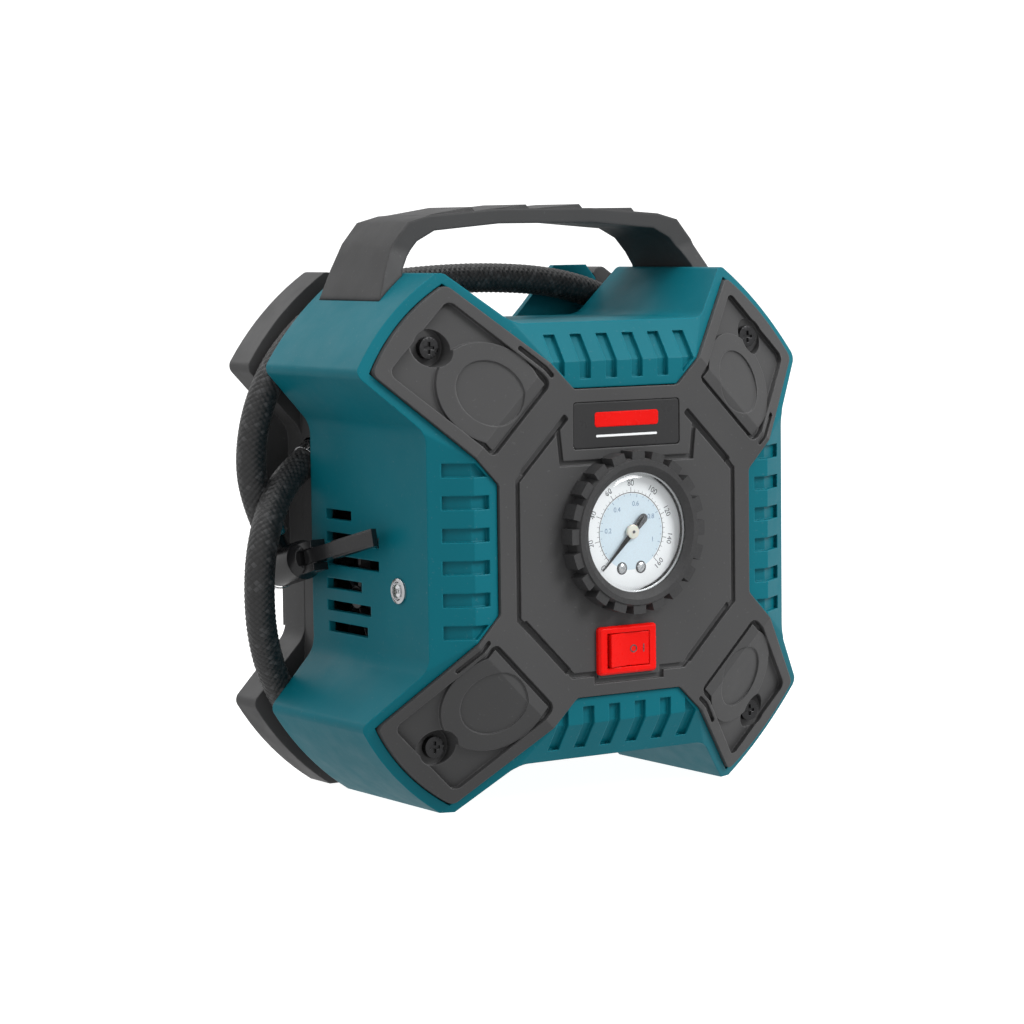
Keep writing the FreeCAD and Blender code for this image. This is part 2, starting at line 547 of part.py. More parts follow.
# ---------------------------------------------------------------- motor and gear
MOTOR_TURN = FreeCAD.Rotation(Z_AXIS, -90)      # local Y to design +X


def motor_at(x):
    return V(x, size("motor_y"), size("motor_z"))


def gear_shape(teeth, width, bore):
    """A spur gear along local Y, its teeth a little thin so that the pair runs with backlash."""
    module = size("gear_module")
    pitch, root, top = teeth * module / 2, teeth * module / 2 - 1.2 * module, teeth * module / 2 + 0.9 * module
    share = 2 * math.pi / teeth
    outline = []
    for k in range(teeth):
        middle = k * share
        for radius, half in ((root, 0.30), (pitch, 0.215), (top, 0.10)):
            outline.append((radius, middle - half * share))
        for radius, half in ((top, 0.10), (pitch, 0.215), (root, 0.30)):
            outline.append((radius, middle + half * share))
    points = [V(r * math.sin(a), 0, r * math.cos(a)) for r, a in outline]
    solid = Part.Face(Part.makePolygon(points + points[:1])).extrude(V(0, width, 0))
    return solid.cut(cylinder(bore, -1, width + 1)) if bore else solid


def make_motor():
    length, radius = size("motor_length"), size("motor_radius")
    wall_x = PLATE_X - 0.05
    can = cylinder(radius, 0, length).cut(cylinder(radius - 1.5, 1.5, length + 1)).cut(cylinder(4.0, -1, 5))
    feature("motor_can", can, motor_at(wall_x - length), MOTOR_TURN)
    turned("motor_end_cap", [("3.05", "-5.5"), ("6.5", "-5.5"), ("6.5", "-2.6"), ("motor_radius - 1.55", "-2.6"),
                             ("motor_radius - 1.55", "-0.05"), ("3.05", "-0.05")], motor_at(wall_x), MOTOR_TURN)
    magnets = cylinder(radius - 1.55, 6, 40).cut(cylinder(12.6, 5, 41))
    gap = Part.makeBox(9, 60, 60, V(-4.5, -5, -30))
    feature("motor_magnets", Part.makeCompound(magnets.cut(gap).Solids), motor_at(wall_x - length), MOTOR_TURN)
    # rotor: shaft, laminated armature with slots, commutator
    armature = cylinder(12.1, 9, 35)
    for k in range(5):
        slot = Part.makeBox(2.2, 30, 5.5, V(-1.1, 7, 7.6))
        slot.rotate(V(0, 0, 0), Y_AXIS, 72 * k)
        armature = armature.cut(slot)
    shaft = cylinder(1.55, -9.0, length + 11.0)
    rotor = armature.fuse([shaft, cylinder(4.2, 37.0, 45.0)])
    feature("motor_rotor", rotor.removeSplitter(), motor_at(wall_x - length), MOTOR_TURN)
    feature("motor_pinion", gear_shape(int(size("pinion_teeth")), size("gear_width"), 1.56), motor_at(1.6), MOTOR_TURN)
    # cooling fan at the tail of the shaft
    blades = [cylinder(3.6, 0, 6).cut(cylinder(1.56, -1, 7))]
    for k in range(7):
        blade = Part.makeBox(1.1, 5.4, 12.2, V(-0.5, 0.3, 3.2))
        blade.rotate(V(0, 3, 0), Z_AXIS, 24)
        blade.rotate(V(0, 0, 0), Y_AXIS, 360.0 * k / 7)
        blades.append(blade)
    feature("cooling_fan", joined(blades).cut(cylinder(1.56, -2, 8)), motor_at(wall_x - length - 8.4), MOTOR_TURN)
    brushes = [Part.makeBox(4, 5, 7, V(-2, 38.5, side)) for side in (4.3, -11.3)]
    feature("motor_brushes", Part.makeCompound(brushes), motor_at(wall_x - length), MOTOR_TURN)


PLATE_X = -3.0


def make_pump():
    y = size("motor_y")
    module, throw = size("gear_module"), size("crank_throw")
    centre_z = size("motor_z") + module * (size("pinion_teeth") + size("gear_teeth")) / 2
    low, high, bore, piston_x = size("cylinder_low"), size("cylinder_high"), size("bore"), size("piston_x")
    # frame: the plate that carries motor, gear axle and cylinder
    plate = Part.makeBox(3, 40, low + 37.5, V(PLATE_X, y - 20, -37.5))
    shelf = Part.makeBox(34, 40, 3.2, V(PLATE_X, y - 20, low - 3.2))
    shelf = shelf.cut(Part.makeBox(10.2, 31, 10, V(0.6, y - 15.5, low - 6)))
    axle = Part.makeCylinder(3.0, 13.4, V(PLATE_X, y, centre_z), X_AXIS)
    frame = plate.fuse([shelf, axle])
    frame = frame.cut(Part.makeCylinder(7.0, 10, V(PLATE_X - 1, y, size("motor_z")), X_AXIS))
    frame = frame.cut(Part.makeCylinder(bore - 1.0, 12, V(piston_x, y, low - 6), Z_AXIS))
    feature("pump_frame", frame.removeSplitter())
    # drive gear with its crank pin; the crank pin ends just short of the connecting rod
    gear = gear_shape(int(size("gear_teeth")), size("gear_width") - 1.0, 3.05)
    gear = gear.fuse(cylinder(5.2, 0, 7.4).cut(cylinder(3.05, -1, 9)))
    half_tooth = 180.0 / size("gear_teeth")
    gear.rotate(V(0, 0, 0), Y_AXIS, half_tooth)
    feature("drive_gear", gear.removeSplitter(), V(2.1, y, centre_z), MOTOR_TURN)
    pin = cylinder(2.4, 6.05, 8.7, throw, 0)
    weight = cylinder(15.0, 6.05, 8.0).cut(cylinder(6.0, 5, 9)).common(Part.makeBox(14, 10, 40, V(-16, 5, -20)))
    feature("crank_pin", pin, V(2.1, y, centre_z), MOTOR_TURN)
    feature("crank_weight", weight, V(2.1, y, centre_z), MOTOR_TURN)
    axle_clip = Part.makeCylinder(4.4, 0.6, V(9.65, y, centre_z), X_AXIS)
    feature("axle_clip", axle_clip.cut(Part.makeCylinder(3.02, 3, V(9, y, centre_z), X_AXIS)))
    # connecting rod made in one piece with the piston, at mid-stroke
    crown = low + 12.0
    rod = Part.makeBox(4.0, 8.0, crown - centre_z - 2, V(piston_x - 2.0, y - 4, centre_z + 2))
    big_end = Part.makeCylinder(6.2, 4.0, V(piston_x - 2.0, y, centre_z), X_AXIS)
    disc = Part.makeCylinder(bore - 0.9, 4.0, V(piston_x, y, crown - 2), Z_AXIS)
    rod = rod.fuse([big_end, disc]).cut(Part.makeCylinder(2.5, 8, V(piston_x - 4, y, centre_z), X_AXIS))
    feature("piston_rod", rod.removeSplitter())
    seal = Part.makeCylinder(bore - 0.04, 2.4, V(piston_x, y, crown - 1.2), Z_AXIS)
    seal = seal.cut(Part.makeCylinder(bore - 0.9, 4, V(piston_x, y, crown - 2), Z_AXIS))
    feature("piston_seal", seal)
    barrel = Part.makeCylinder(bore + 2.0, high - low - 0.1, V(piston_x, y, low + 0.05), Z_AXIS)
    fins = [Part.makeCylinder(bore + 5.5, 1.4, V(piston_x, y, low + 3.0 + 4.4 * k), Z_AXIS) for k in range(5)]
    barrel = barrel.fuse(fins).cut(Part.makeCylinder(bore, 60, V(piston_x, y, low - 5), Z_AXIS))
    feature("pump_cylinder", barrel.removeSplitter())
    head = Part.makeCylinder(bore + 4.5, 7.5, V(piston_x, y, high + 0.9), Z_AXIS)
    head = head.cut(Part.makeCylinder(bore - 3.0, 4.0, V(piston_x, y, high), Z_AXIS))
    nozzle = Part.makeCylinder(3.2, 10, V(piston_x - 14, y, high + 4.6), -X_AXIS)
    head = head.fuse(nozzle).cut(Part.makeCylinder(1.4, 30, V(piston_x - 6, y, high + 3.6), -X_AXIS))
    feature("cylinder_head", head.removeSplitter())
    plate = Part.makeCylinder(bore + 4.5, 0.8, V(piston_x, y, high + 0.05), Z_AXIS)
    feature("valve_plate", plate.cut(Part.makeCylinder(1.6, 5, V(piston_x - 3, y, high - 1), Z_AXIS)))
    reed = Part.makeBox(10, 5, 0.3, V(piston_x - 6, y - 2.5, high + 0.9))
    feature("valve_reed", reed)
    bolts = []
    for dy in (-1, 1):
        for dz in (-1, 1):
            at = V(PLATE_X - 5, y + dy * 12.6 / ROOT_TWO, size("motor_z") + dz * 12.6 / ROOT_TWO)
            head_shape = Part.makeCylinder(2.4, 1.8, V(0.05, at.y, at.z), X_AXIS)
            bolts.append(head_shape)
    feature("motor_screws", Part.makeCompound(bolts))


def smooth_wire(points):
    """Straight runs joined by tangent arcs, each as large as the shorter of its two runs allows."""
    edges, radii, here = [], [], points[0]
    for before, corner, after in zip(points, points[1:], points[2:]):
        run_in, run_out = corner - before, after - corner
        turn = run_in.getAngle(run_out)
        radius = 0.45 * min(run_in.Length, run_out.Length) / math.tan(turn / 2)
        reach = radius * math.tan(turn / 2)
        start = corner - V(run_in).normalize() * reach
        end = corner + V(run_out).normalize() * reach
        inward = (V(run_out).normalize() - V(run_in).normalize()).normalize()
        middle = corner + inward * (radius / math.cos(turn / 2) - radius)
        edges.append(Part.LineSegment(here, start).toShape())
        edges.append(Part.Arc(start, middle, end).toShape())
        radii.append(radius)
        here = end
    edges.append(Part.LineSegment(here, points[-1]).toShape())
    return Part.Wire(edges), radii


def tube(points, radius, name):
    wire, radii = smooth_wire(points)
    start = Part.Wire(Part.Circle(points[0], points[1] - points[0], radius).toShape())
    solid = wire.makePipeShell([start], True, True)
    expected = math.pi * radius ** 2 * wire.Length
    print(f"{name}: length {wire.Length:.1f} mm, volume {solid.Volume / expected:.4f} of section x length, "
          f"radii {[round(r) for r in radii]}")
    if abs(solid.Volume / expected - 1) > 0.01:
        raise RuntimeError(name + ": the tube's volume is wrong")
    return solid


# ---------------------------------------------------------------- hose, wound once round the housing
HOSE_ROUTE = [
    V(-65.6, 83.0, 23.4), V(-73.0, 81.4, 19.0), V(-80.0, 77.6, 12.4), V(-86.0, 73.6, 4.0), V(-89.2, 72.0, -6.4),
    V(-89.2, 73.0, -17.8), V(-86.4, 76.6, -29.6), V(-81.2, 81.0, -41.6), V(-74.4, 82.7, -53.6),
    V(-64.4, 82.7, -64.6), V(-51.6, 82.7, -73.0), V(-34.0, 82.7, -76.6), V(-8.0, 82.7, -77.0),
    V(22.0, 82.7, -76.4), V(46.0, 82.7, -73.6), V(62.0, 82.7, -65.2), V(73.2, 82.7, -51.6),
    V(78.2, 82.7, -32.0), V(79.2, 82.7, -6.0), V(78.6, 82.7, 20.0), V(75.6, 82.7, 42.0), V(66.2, 82.7, 59.6),
    V(51.2, 82.7, 72.6), V(30.0, 82.7, 78.4), V(6.0, 82.7, 80.2), V(-18.0, 82.7, 79.8), V(-42.0, 82.7, 77.8),
    V(-62.0, 82.7, 68.6), V(-75.4, 82.7, 55.6), V(-83.0, 82.9, 41.0), V(-85.6, 83.6, 26.0),
    V(-84.0, 84.2, 13.6), V(-80.6, 83.2, 4.6)]


def make_hose():
    feature("air_hose", tube(HOSE_ROUTE, size("hose_radius"), "air_hose"))
    start, inward = HOSE_ROUTE[0], hose_direction() * -1
    stub = Part.makeCylinder(5.2, 4.4, start + inward * 0.05, inward)
    collar = Part.makeCylinder(6.8, 1.8, start + inward * 9.2, inward)
    tail = Part.makeCylinder(3.2, 12.4, start + inward * 0.05, inward)
    outlet = stub.fuse([collar, tail]).cut(Part.makeCylinder(1.8, 60, start + inward * -1, inward))
    feature("hose_outlet", outlet.removeSplitter())
    block = Part.makeBox(10, 11, 10, V(-55.5, 81, 24.2)).cut(Part.makeCylinder(3.25, 20, start, inward))
    feature("air_manifold", block)
    for label, route in (("delivery_pipe", DELIVERY_ROUTE), ("gauge_pipe", GAUGE_ROUTE)):
        feature(label, tube(route, 1.75, label))


DELIVERY_ROUTE = [V(-10.05, 57, 56.6), V(-23, 57.0, 57.0), V(-37, 60.0, 56.0), V(-47, 69.0, 54.0),
                  V(-51.6, 78.6, 49.0), V(-51.0, 85.6, 41.0), V(-51.0, 86.5, 34.25)]
GAUGE_ROUTE = [V(-45.45, 86.5, 29.2), V(-36.0, 86.0, 28.6), V(-26.0, 80.0, 24.0), V(-19.0, 66.0, 18.0),
               V(-13.0, 50.0, 10.0), V(-6.0, 38.0, 5.0), V(-1.0, 31.5, 2.9), V(0, 26.1, 2.8)]


# ---------------------------------------------------------------- thumb-lock chuck on the hose's end
def make_chuck():
    """Local frame: barrel along Y, mouth towards +Y, lever towards -Y."""
    at = V(size("chuck_x"), size("chuck_y"), size("chuck_z"))
    turn = FreeCAD.Rotation(X_AXIS, -size("chuck_tilt"))
    r = size("barrel_radius")
    barrel = Part.Face(Part.makePolygon([V(0, -11, 0), V(4.4, -11, 0), V(r, -7.5, 0), V(r, 7.0, 0),
                                         V(5.4, 11.0, 0), V(0, 11.0, 0), V(0, -11, 0)])).revolve(V(0, 0, 0), Y_AXIS, 360)
    end, ferrule_axis, ferrule_length = chuck_hose_end(at, turn)
    spigot = Part.makeCylinder(4.0, 7.0, end + ferrule_axis * (ferrule_length + 0.03), ferrule_axis)
    ears = Part.makeBox(5.2, 9.0, 9.6, V(-2.6, -17.0, -4.8))
    slot = Part.makeBox(14, 9.0, 4.8, V(-7, PIVOT_Y - 5.4, -2.4))
    body = barrel.fuse([spigot, ears]).cut(slot)
    body = body.cut(cylinder(3.9, -4, 20)).cut(Part.makeCylinder(1.06, 30, V(0, PIVOT_Y, -15), Z_AXIS))
    feature("chuck_body", body.removeSplitter(), at, turn)
    ring = cylinder(6.5, 8.6, 10.2).cut(cylinder(r + 0.02, 0, 20).fuse(barrel))
    feature("chuck_ring", ring.Solids[0] if ring.Solids else ring, at, turn)
    seal = cylinder(3.85, 2.0, 10.6).cut(cylinder(2.3, 0, 20))
    feature("chuck_seal", seal, at, turn)
    plunger = cylinder(2.0, -3.5, 13.6).cut(cylinder(1.0, 8, 20))
    feature("valve_probe", plunger, at, turn)
    lever_profile = [V(2.2, PIVOT_Y + 2.4, 0), V(2.6, PIVOT_Y - 3, 0), V(2.4, -30, 0), V(3.4, -47, 0), V(1.0, -48, 0),
                     V(-1.2, -31, 0), V(-2.4, PIVOT_Y - 3, 0), V(-2.2, PIVOT_Y + 2.4, 0)]
    lever = Part.Face(Part.makePolygon(lever_profile + lever_profile[:1])).extrude(V(0, 0, 4.4))
    lever.translate(V(0, 0, -2.2))
    thumb = Part.Face(Part.makePolygon([V(2.4, -26, 0), V(3.4, -47, 0), V(1.0, -48, 0), V(-0.6, -26, 0),
                                        V(2.4, -26, 0)])).extrude(V(0, 0, 5.4))
    thumb.translate(V(0, 0, -2.7))
    lever = lever.fuse(thumb).cut(Part.makeCylinder(1.06, 30, V(0, PIVOT_Y, -15), Z_AXIS))
    feature("chuck_lever", lever.removeSplitter(), at, turn)
    pin = Part.makeCylinder(1.0, 9.4, V(0, PIVOT_Y, -4.7), Z_AXIS)
    feature("lever_pin", pin, at, turn)
    collar = Part.makeCylinder(5.6, ferrule_length, end, ferrule_axis)
    collar = collar.cut(Part.makeCylinder(1.8, 60, end - ferrule_axis * 2, ferrule_axis))
    feature("hose_ferrule", collar, at, turn)


PIVOT_Y = -14.0


def chuck_hose_end(at, turn):
    """The hose's last point and direction, in the chuck's own frame, and the crimped collar's length."""
    last, previous = HOSE_ROUTE[-1], HOSE_ROUTE[-2]
    direction = (last - previous).normalize()
    back = turn.inverted()
    return back.multVec(last - at), back.multVec(direction), 5.0


# ---------------------------------------------------------------- fasteners and small parts
def make_fasteners():
    head, shank = size("screw_head"), size("screw_shank")
    front, floor = [], size("well_floor")
    for x, z in arm_centres(size("cover_screw_radius")):
        screw = cylinder(head, floor - 2.2, floor - 0.05, x, z).fuse(cylinder(shank, floor - 0.1, 37, x, z))
        slot = Part.makeBox(3.6, 1.2, 0.9, V(x - 1.8, floor - 2.6, z - 0.45))
        front.append(screw.cut(slot.fuse(Part.makeBox(0.9, 1.2, 3.6, V(x - 0.45, floor - 2.6, z - 1.8)))))
    feature("cover_screws", Part.makeCompound(front))
    back = []
    rear = size("rim_rear")
    for x, z in arm_centres(size("case_screw_radius")):
        screw = cylinder(head, rear - 8.0, rear - 5.6, x, z).fuse(cylinder(shank, rear - 36, rear - 7.9, x, z))
        slot = Part.makeBox(3.6, 1.4, 0.9, V(x - 1.8, rear - 6.8, z - 0.45))
        back.append(screw.cut(slot.fuse(Part.makeBox(0.9, 1.4, 3.6, V(x - 0.45, rear - 6.8, z - 1.8)))))
    feature("case_screws", Part.makeCompound(back))
    gland = cylinder(4.55, 97.9, 101.4, *GLAND).fuse([cylinder(6.4, 100.85, 102.3, *GLAND),
                                                     cylinder(6.4, 96.6, 98.35, *GLAND)])
    feature("lead_gland", gland.cut(cylinder(2.6, 90, 120, *GLAND)).removeSplitter())
    feature("name_plate", rounded_box(40.0, 14.0, (0, 36.0), 0.25, 0.95, 1.1))


make_front_shell()
make_front_cover()
make_rear_cover()
make_hose_guide()
make_handle()
make_gauge()
make_switch()
make_lamp()
make_motor()
make_pump()
make_hose()
make_chuck()
make_fasteners()
doc.recompute()

# ---------------------------------------------------------------- checks and files
os.makedirs("parts", exist_ok=True)
for thing in doc.Objects:
    if "Invalid" in thing.State or "Error" in thing.State:
        raise RuntimeError(f"{thing.Name} failed: {thing.State}")
for label, thing in PARTS.items():
    if thing.Shape.isNull() or not thing.Shape.isValid() or not thing.Shape.Solids:
        raise RuntimeError(f"{label} has no valid shape")
    thing.Shape.exportStep(f"parts/{label}.step")
    box = thing.Shape.BoundBox
    print(f"{label:18s} solids {len(thing.Shape.Solids):2d}  volume {thing.Shape.Volume / 1000:8.2f} cm3  "
          f"x {box.XMin:7.1f} {box.XMax:7.1f}  y {box.YMin:7.1f} {box.YMax:7.1f}  z {box.ZMin:7.1f} {box.ZMax:7.1f}")
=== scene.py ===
"""Looks of the portable air pump: moulded shells, dial gauge, rocker switch, braided hose and chuck.

Lengths are in millimetres in the design frame (Y = 0 on the flat of the front cover, Z = 0 on the gauge's and
arms' centre line) until at() or placed() takes them to the row frame in metres.  The camera, the stage and the
lights are given in the row frame's metres.
"""

import json
import math

import bmesh
import bpy
from mathutils import Matrix, Vector


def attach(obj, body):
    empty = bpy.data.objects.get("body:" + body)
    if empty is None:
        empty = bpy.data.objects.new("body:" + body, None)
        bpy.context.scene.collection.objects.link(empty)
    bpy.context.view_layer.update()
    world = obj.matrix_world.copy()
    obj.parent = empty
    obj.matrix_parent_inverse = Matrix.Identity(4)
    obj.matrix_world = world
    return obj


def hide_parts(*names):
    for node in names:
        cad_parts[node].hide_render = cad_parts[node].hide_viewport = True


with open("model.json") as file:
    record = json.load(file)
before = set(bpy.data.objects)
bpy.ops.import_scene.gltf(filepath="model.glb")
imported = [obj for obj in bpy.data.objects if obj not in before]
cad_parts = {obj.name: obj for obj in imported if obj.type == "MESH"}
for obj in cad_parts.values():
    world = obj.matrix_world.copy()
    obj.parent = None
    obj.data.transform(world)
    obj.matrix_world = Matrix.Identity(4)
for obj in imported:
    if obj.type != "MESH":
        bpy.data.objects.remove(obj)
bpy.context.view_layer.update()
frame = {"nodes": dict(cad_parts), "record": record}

NODES = frame["nodes"]
SLOT_OF = {part["node"]: part["material_slot"] for part in frame["record"]["subparts"]}
BODY_OF = {node: body for body, members in frame["record"]["behaviour"]["bodies"].items() for node in members}

MM = 0.001
TO_ROW = Matrix.Scale(MM, 4) @ Matrix.Translation((0, -48.0, 82.0))
GAUGE = Matrix.Translation((0, 0, 2.8))             # middle of the dial
SWITCH = Matrix.Translation((-1.5, 0, -33.5))       # middle of the rocker


def at(x, y, z):
    return TO_ROW @ Vector((x, y, z))


def linked(name, data):
    """A new object in the scene."""
    made = bpy.data.objects.new(name, data)
    bpy.context.collection.objects.link(made)
    return made


# ---------------------------------------------------------------- camera
CAMERA_AZIMUTH, CAMERA_ELEVATION, CAMERA_ROLL = -33.86, 5.09, -0.71     # degrees
CAMERA_TARGET, CAMERA_DISTANCE = Vector((-0.04288, -0.048, 0.09328)), 0.96
CAMERA_LENS, CAMERA_SENSOR = 112.5, 36.0
CAMERA_NEAR, CAMERA_FAR = 0.05, 50.0


def make_camera():
    """Looks at the target from the front left and a little above."""
    azimuth, elevation = math.radians(CAMERA_AZIMUTH), math.radians(CAMERA_ELEVATION)
    roll = math.radians(CAMERA_ROLL)
    back = Vector((math.sin(azimuth) * math.cos(elevation), -math.cos(azimuth) * math.cos(elevation),
                   math.sin(elevation)))
    right = Vector((math.cos(azimuth), math.sin(azimuth), 0))
    up = back.cross(right)
    camera_x = right * math.cos(roll) + up * math.sin(roll)
    camera_y = up * math.cos(roll) - right * math.sin(roll)
    data = bpy.data.cameras.new("camera")
    data.lens, data.sensor_width = CAMERA_LENS, CAMERA_SENSOR
    data.clip_start, data.clip_end = CAMERA_NEAR, CAMERA_FAR
    camera = linked("camera", data)
    turn = Matrix((camera_x, camera_y, back)).transposed().to_4x4()
    camera.matrix_world = Matrix.Translation(CAMERA_TARGET + back * CAMERA_DISTANCE) @ turn
    bpy.context.scene.camera = camera


# ---------------------------------------------------------------- materials
class Finish:
    """A procedural material round one Principled shader, its patterns in the row frame's metres."""

    def __init__(self, name, **sockets):
        self.material = bpy.data.materials.new(name)
        self.material.use_nodes = True
        self.tree = self.material.node_tree
        self.shader = self.tree.nodes["Principled BSDF"]
        self.coordinates = self.tree.nodes.new("ShaderNodeTexCoord")
        for socket, value in sockets.items():
            self.shader.inputs[socket.replace("_", " ")].default_value = value

    def node(self, kind, inputs=None, **settings):
        made = self.tree.nodes.new("ShaderNode" + kind)
        for key, value in settings.items():
            setattr(made, key, value)
        for key, value in (inputs or {}).items():
            if isinstance(value, bpy.types.NodeSocket):
                self.tree.links.new(value, made.inputs[key])
            else:
                made.inputs[key].default_value = value
        return made

    def into(self, socket, value):
        self.tree.links.new(value, self.shader.inputs[socket])

    def stretched(self, x, y, z):
        """Object coordinates, whose patterns grow longer along an axis with a smaller factor."""
        inputs = {"Vector": self.coordinates.outputs["Object"], "Scale": (x, y, z)}
        return self.node("Mapping", inputs).outputs[0]

    def noise(self, scale, detail=3.0, roughness=0.55, vector=None):
        inputs = {"Vector": vector or self.coordinates.outputs["Object"], "Scale": scale, "Detail": detail,
                  "Roughness": roughness}
        return self.node("TexNoise", inputs).outputs["Fac"]

    def math(self, operation, a, b=0.0):
        return self.node("Math", {0: a, 1: b}, operation=operation).outputs[0]

    def spread(self, value, low, high, source=(0.3, 0.7)):
        """value, brought from source's range to low..high."""
        inputs = {"Value": value, "From Min": source[0], "From Max": source[1], "To Min": low, "To Max": high}
        return self.node("MapRange", inputs).outputs["Result"]

    def mix(self, share, first, second):
        """first, with share of second; a colour is a socket or three numbers."""
        blend = self.node("Mix", data_type="RGBA")
        for index, value in ((0, share), (6, first), (7, second)):
            if isinstance(value, bpy.types.NodeSocket):
                self.tree.links.new(value, blend.inputs[index])
            else:
                blend.inputs[index].default_value = value if index == 0 else (*value, 1.0)
        return blend.outputs[2]

    def bump(self, height, distance, strength=1.0, normal=None):
        inputs = {"Height": height, "Distance": distance, "Strength": strength}
        if normal:
            inputs["Normal"] = normal
        return self.node("Bump", inputs).outputs[0]

    def rounded(self, radius):
        """The normal of a surface whose edges are rounded to radius."""
        return self.node("Bevel", {"Radius": radius}, samples=6).outputs[0]

    def edges(self, rounded):
        """1 on an edge that rounded bends, 0 on a flat."""
        flat = self.node("NewGeometry").outputs["Normal"]
        dot = self.node("VectorMath", {0: rounded, 1: flat}, operation="DOT_PRODUCT").outputs["Value"]
        return self.spread(dot, 1.0, 0.0, (0.90, 0.995))


def shade(colour, factor):
    return tuple(channel * factor for channel in colour)


def moulded(name, colour, roughness, grain=1500.0, depth=0.00002, edge=1.5, specular=0.14, radius=0.0007):
    """Injection-moulded plastic: faint flow marks, spark-eroded grain, edges paler, partly from handling wear
    and partly a painted highlight where the rounded edges catch light.
    """
    finish = Finish(name, Specular_IOR_Level=specular)
    flow = finish.noise(22.0, 2.0, vector=finish.stretched(1.0, 1.0, 0.45))
    body = finish.mix(finish.spread(flow, 0.0, 1.0), shade(colour, 0.92), shade(colour, 1.08))
    dust = finish.spread(finish.noise(900.0, 2.0), 0.0, 0.10, (0.66, 0.80))
    body = finish.mix(dust, body, (0.35, 0.35, 0.35))
    rounded = finish.rounded(radius)
    # rounded edges painted paler, partly handling wear and partly painted highlight; edge sets how much paler
    wear_and_edge_highlight = finish.math("MULTIPLY", finish.edges(rounded), finish.spread(finish.noise(160.0), 0.25, 0.9))
    finish.into("Base Color", finish.mix(wear_and_edge_highlight, body, shade(colour, edge)))
    finish.into("Roughness", finish.spread(finish.noise(120.0, 4.0), roughness - 0.05, roughness + 0.06))
    eroded = finish.noise(grain, 2.0, 0.5)
    waviness = finish.bump(finish.noise(38.0, 1.0), 0.0002, 0.25, rounded)
    finish.into("Normal", finish.bump(eroded, depth, 0.8, waviness))
    return finish.material


def rubbery(name, colour):
    """Soft-touch rubber: dense pebble grain, paler on the crowns where it is rubbed."""
    finish = Finish(name, Specular_IOR_Level=0.35)
    pebbles = finish.node("TexVoronoi", {"Vector": finish.coordinates.outputs["Object"], "Scale": 1900.0},
                          feature="SMOOTH_F1").outputs["Distance"]
    mottle = finish.noise(45.0, 3.0)
    body = finish.mix(finish.spread(mottle, 0.0, 1.0), shade(colour, 0.85), shade(colour, 1.15))
    rubbed = finish.spread(pebbles, 0.0, 0.25, (0.3, 0.8))
    finish.into("Base Color", finish.mix(rubbed, body, shade(colour, 2.0)))
    finish.into("Roughness", finish.spread(finish.noise(150.0), 0.55, 0.69))
    finish.into("Normal", finish.bump(pebbles, 0.00003, 0.7))
    return finish.material


def machined(name, colour, roughness=0.26, along=(1.0, 1.0, 1.0), scale=1400.0):
    """Turned, drawn or plated metal: tool marks round or along the part, faint tarnish."""
    finish = Finish(name, Metallic=1.0)
    marks = finish.noise(scale, 3.0, 0.6, finish.stretched(*along))
    tarnish = finish.noise(130.0, 4.0)
    finish.into("Base Color", finish.mix(finish.spread(tarnish, 0.0, 0.45), colour, shade(colour, 0.55)))
    finish.into("Roughness", finish.spread(marks, roughness - 0.08, roughness + 0.12))
    finish.into("Normal", finish.bump(marks, 0.00001, 0.5))
    return finish.material


def clear(name, tint, roughness=0.015):
    """Moulded clear plastic with a few fine wiping scratches."""
    finish = Finish(name, Base_Color=(*tint, 1.0), Transmission_Weight=1.0, IOR=1.46)
    scratches = finish.noise(420.0, 2.0, 0.5, finish.stretched(6.0, 1.0, 0.4))
    finish.into("Roughness", finish.spread(scratches, roughness, roughness + 0.05, (0.6, 0.8)))
    return finish.material


def printed(name, colour):
    """Pad-printed ink, slightly uneven."""
    finish = Finish(name, Specular_IOR_Level=0.3)
    density = finish.noise(2500.0, 2.0)
    finish.into("Base Color", finish.mix(finish.spread(density, 0.0, 0.25), colour, (0.55, 0.57, 0.60)))
    finish.into("Roughness", finish.spread(density, 0.45, 0.6))
    return finish.material


def enamelled():
    """White dial enamel with a slight orange peel."""
    finish = Finish("dial_face", Coat_Weight=0.15, Coat_Roughness=0.2)
    haze = finish.noise(60.0, 3.0)
    finish.into("Base Color", finish.mix(finish.spread(haze, 0.0, 1.0), (0.90, 0.92, 0.93), (0.93, 0.95, 0.96)))
    finish.into("Roughness", finish.spread(finish.noise(300.0), 0.35, 0.45))
    finish.into("Normal", finish.bump(finish.noise(700.0, 2.0), 0.00001, 0.5))
    return finish.material


def circuit():
    """Green solder mask over copper tracks."""
    finish = Finish("circuit_board", Coat_Weight=0.3)
    brick = finish.node("TexBrick", {"Vector": finish.coordinates.outputs["Object"], "Scale": 260.0,
                                     "Mortar Size": 0.03})
    tracks = finish.math("SUBTRACT", 1.0, brick.outputs["Fac"])
    finish.into("Base Color", finish.mix(tracks, (0.08, 0.30, 0.10), (0.015, 0.12, 0.04)))
    finish.into("Roughness", finish.spread(finish.noise(300.0), 0.3, 0.45))
    return finish.material


def translucent(name, colour):
    """Natural nylon or silicone: light sinks a little way in."""
    finish = Finish(name, Subsurface_Weight=0.25, Subsurface_Scale=0.002)
    cloud = finish.noise(90.0, 3.0)
    finish.into("Base Color", finish.mix(finish.spread(cloud, 0.0, 1.0), shade(colour, 0.9), colour))
    finish.into("Roughness", finish.spread(finish.noise(400.0), 0.38, 0.5))
    finish.into("Normal", finish.bump(finish.noise(1200.0), 0.00001, 0.5))
    return finish.material


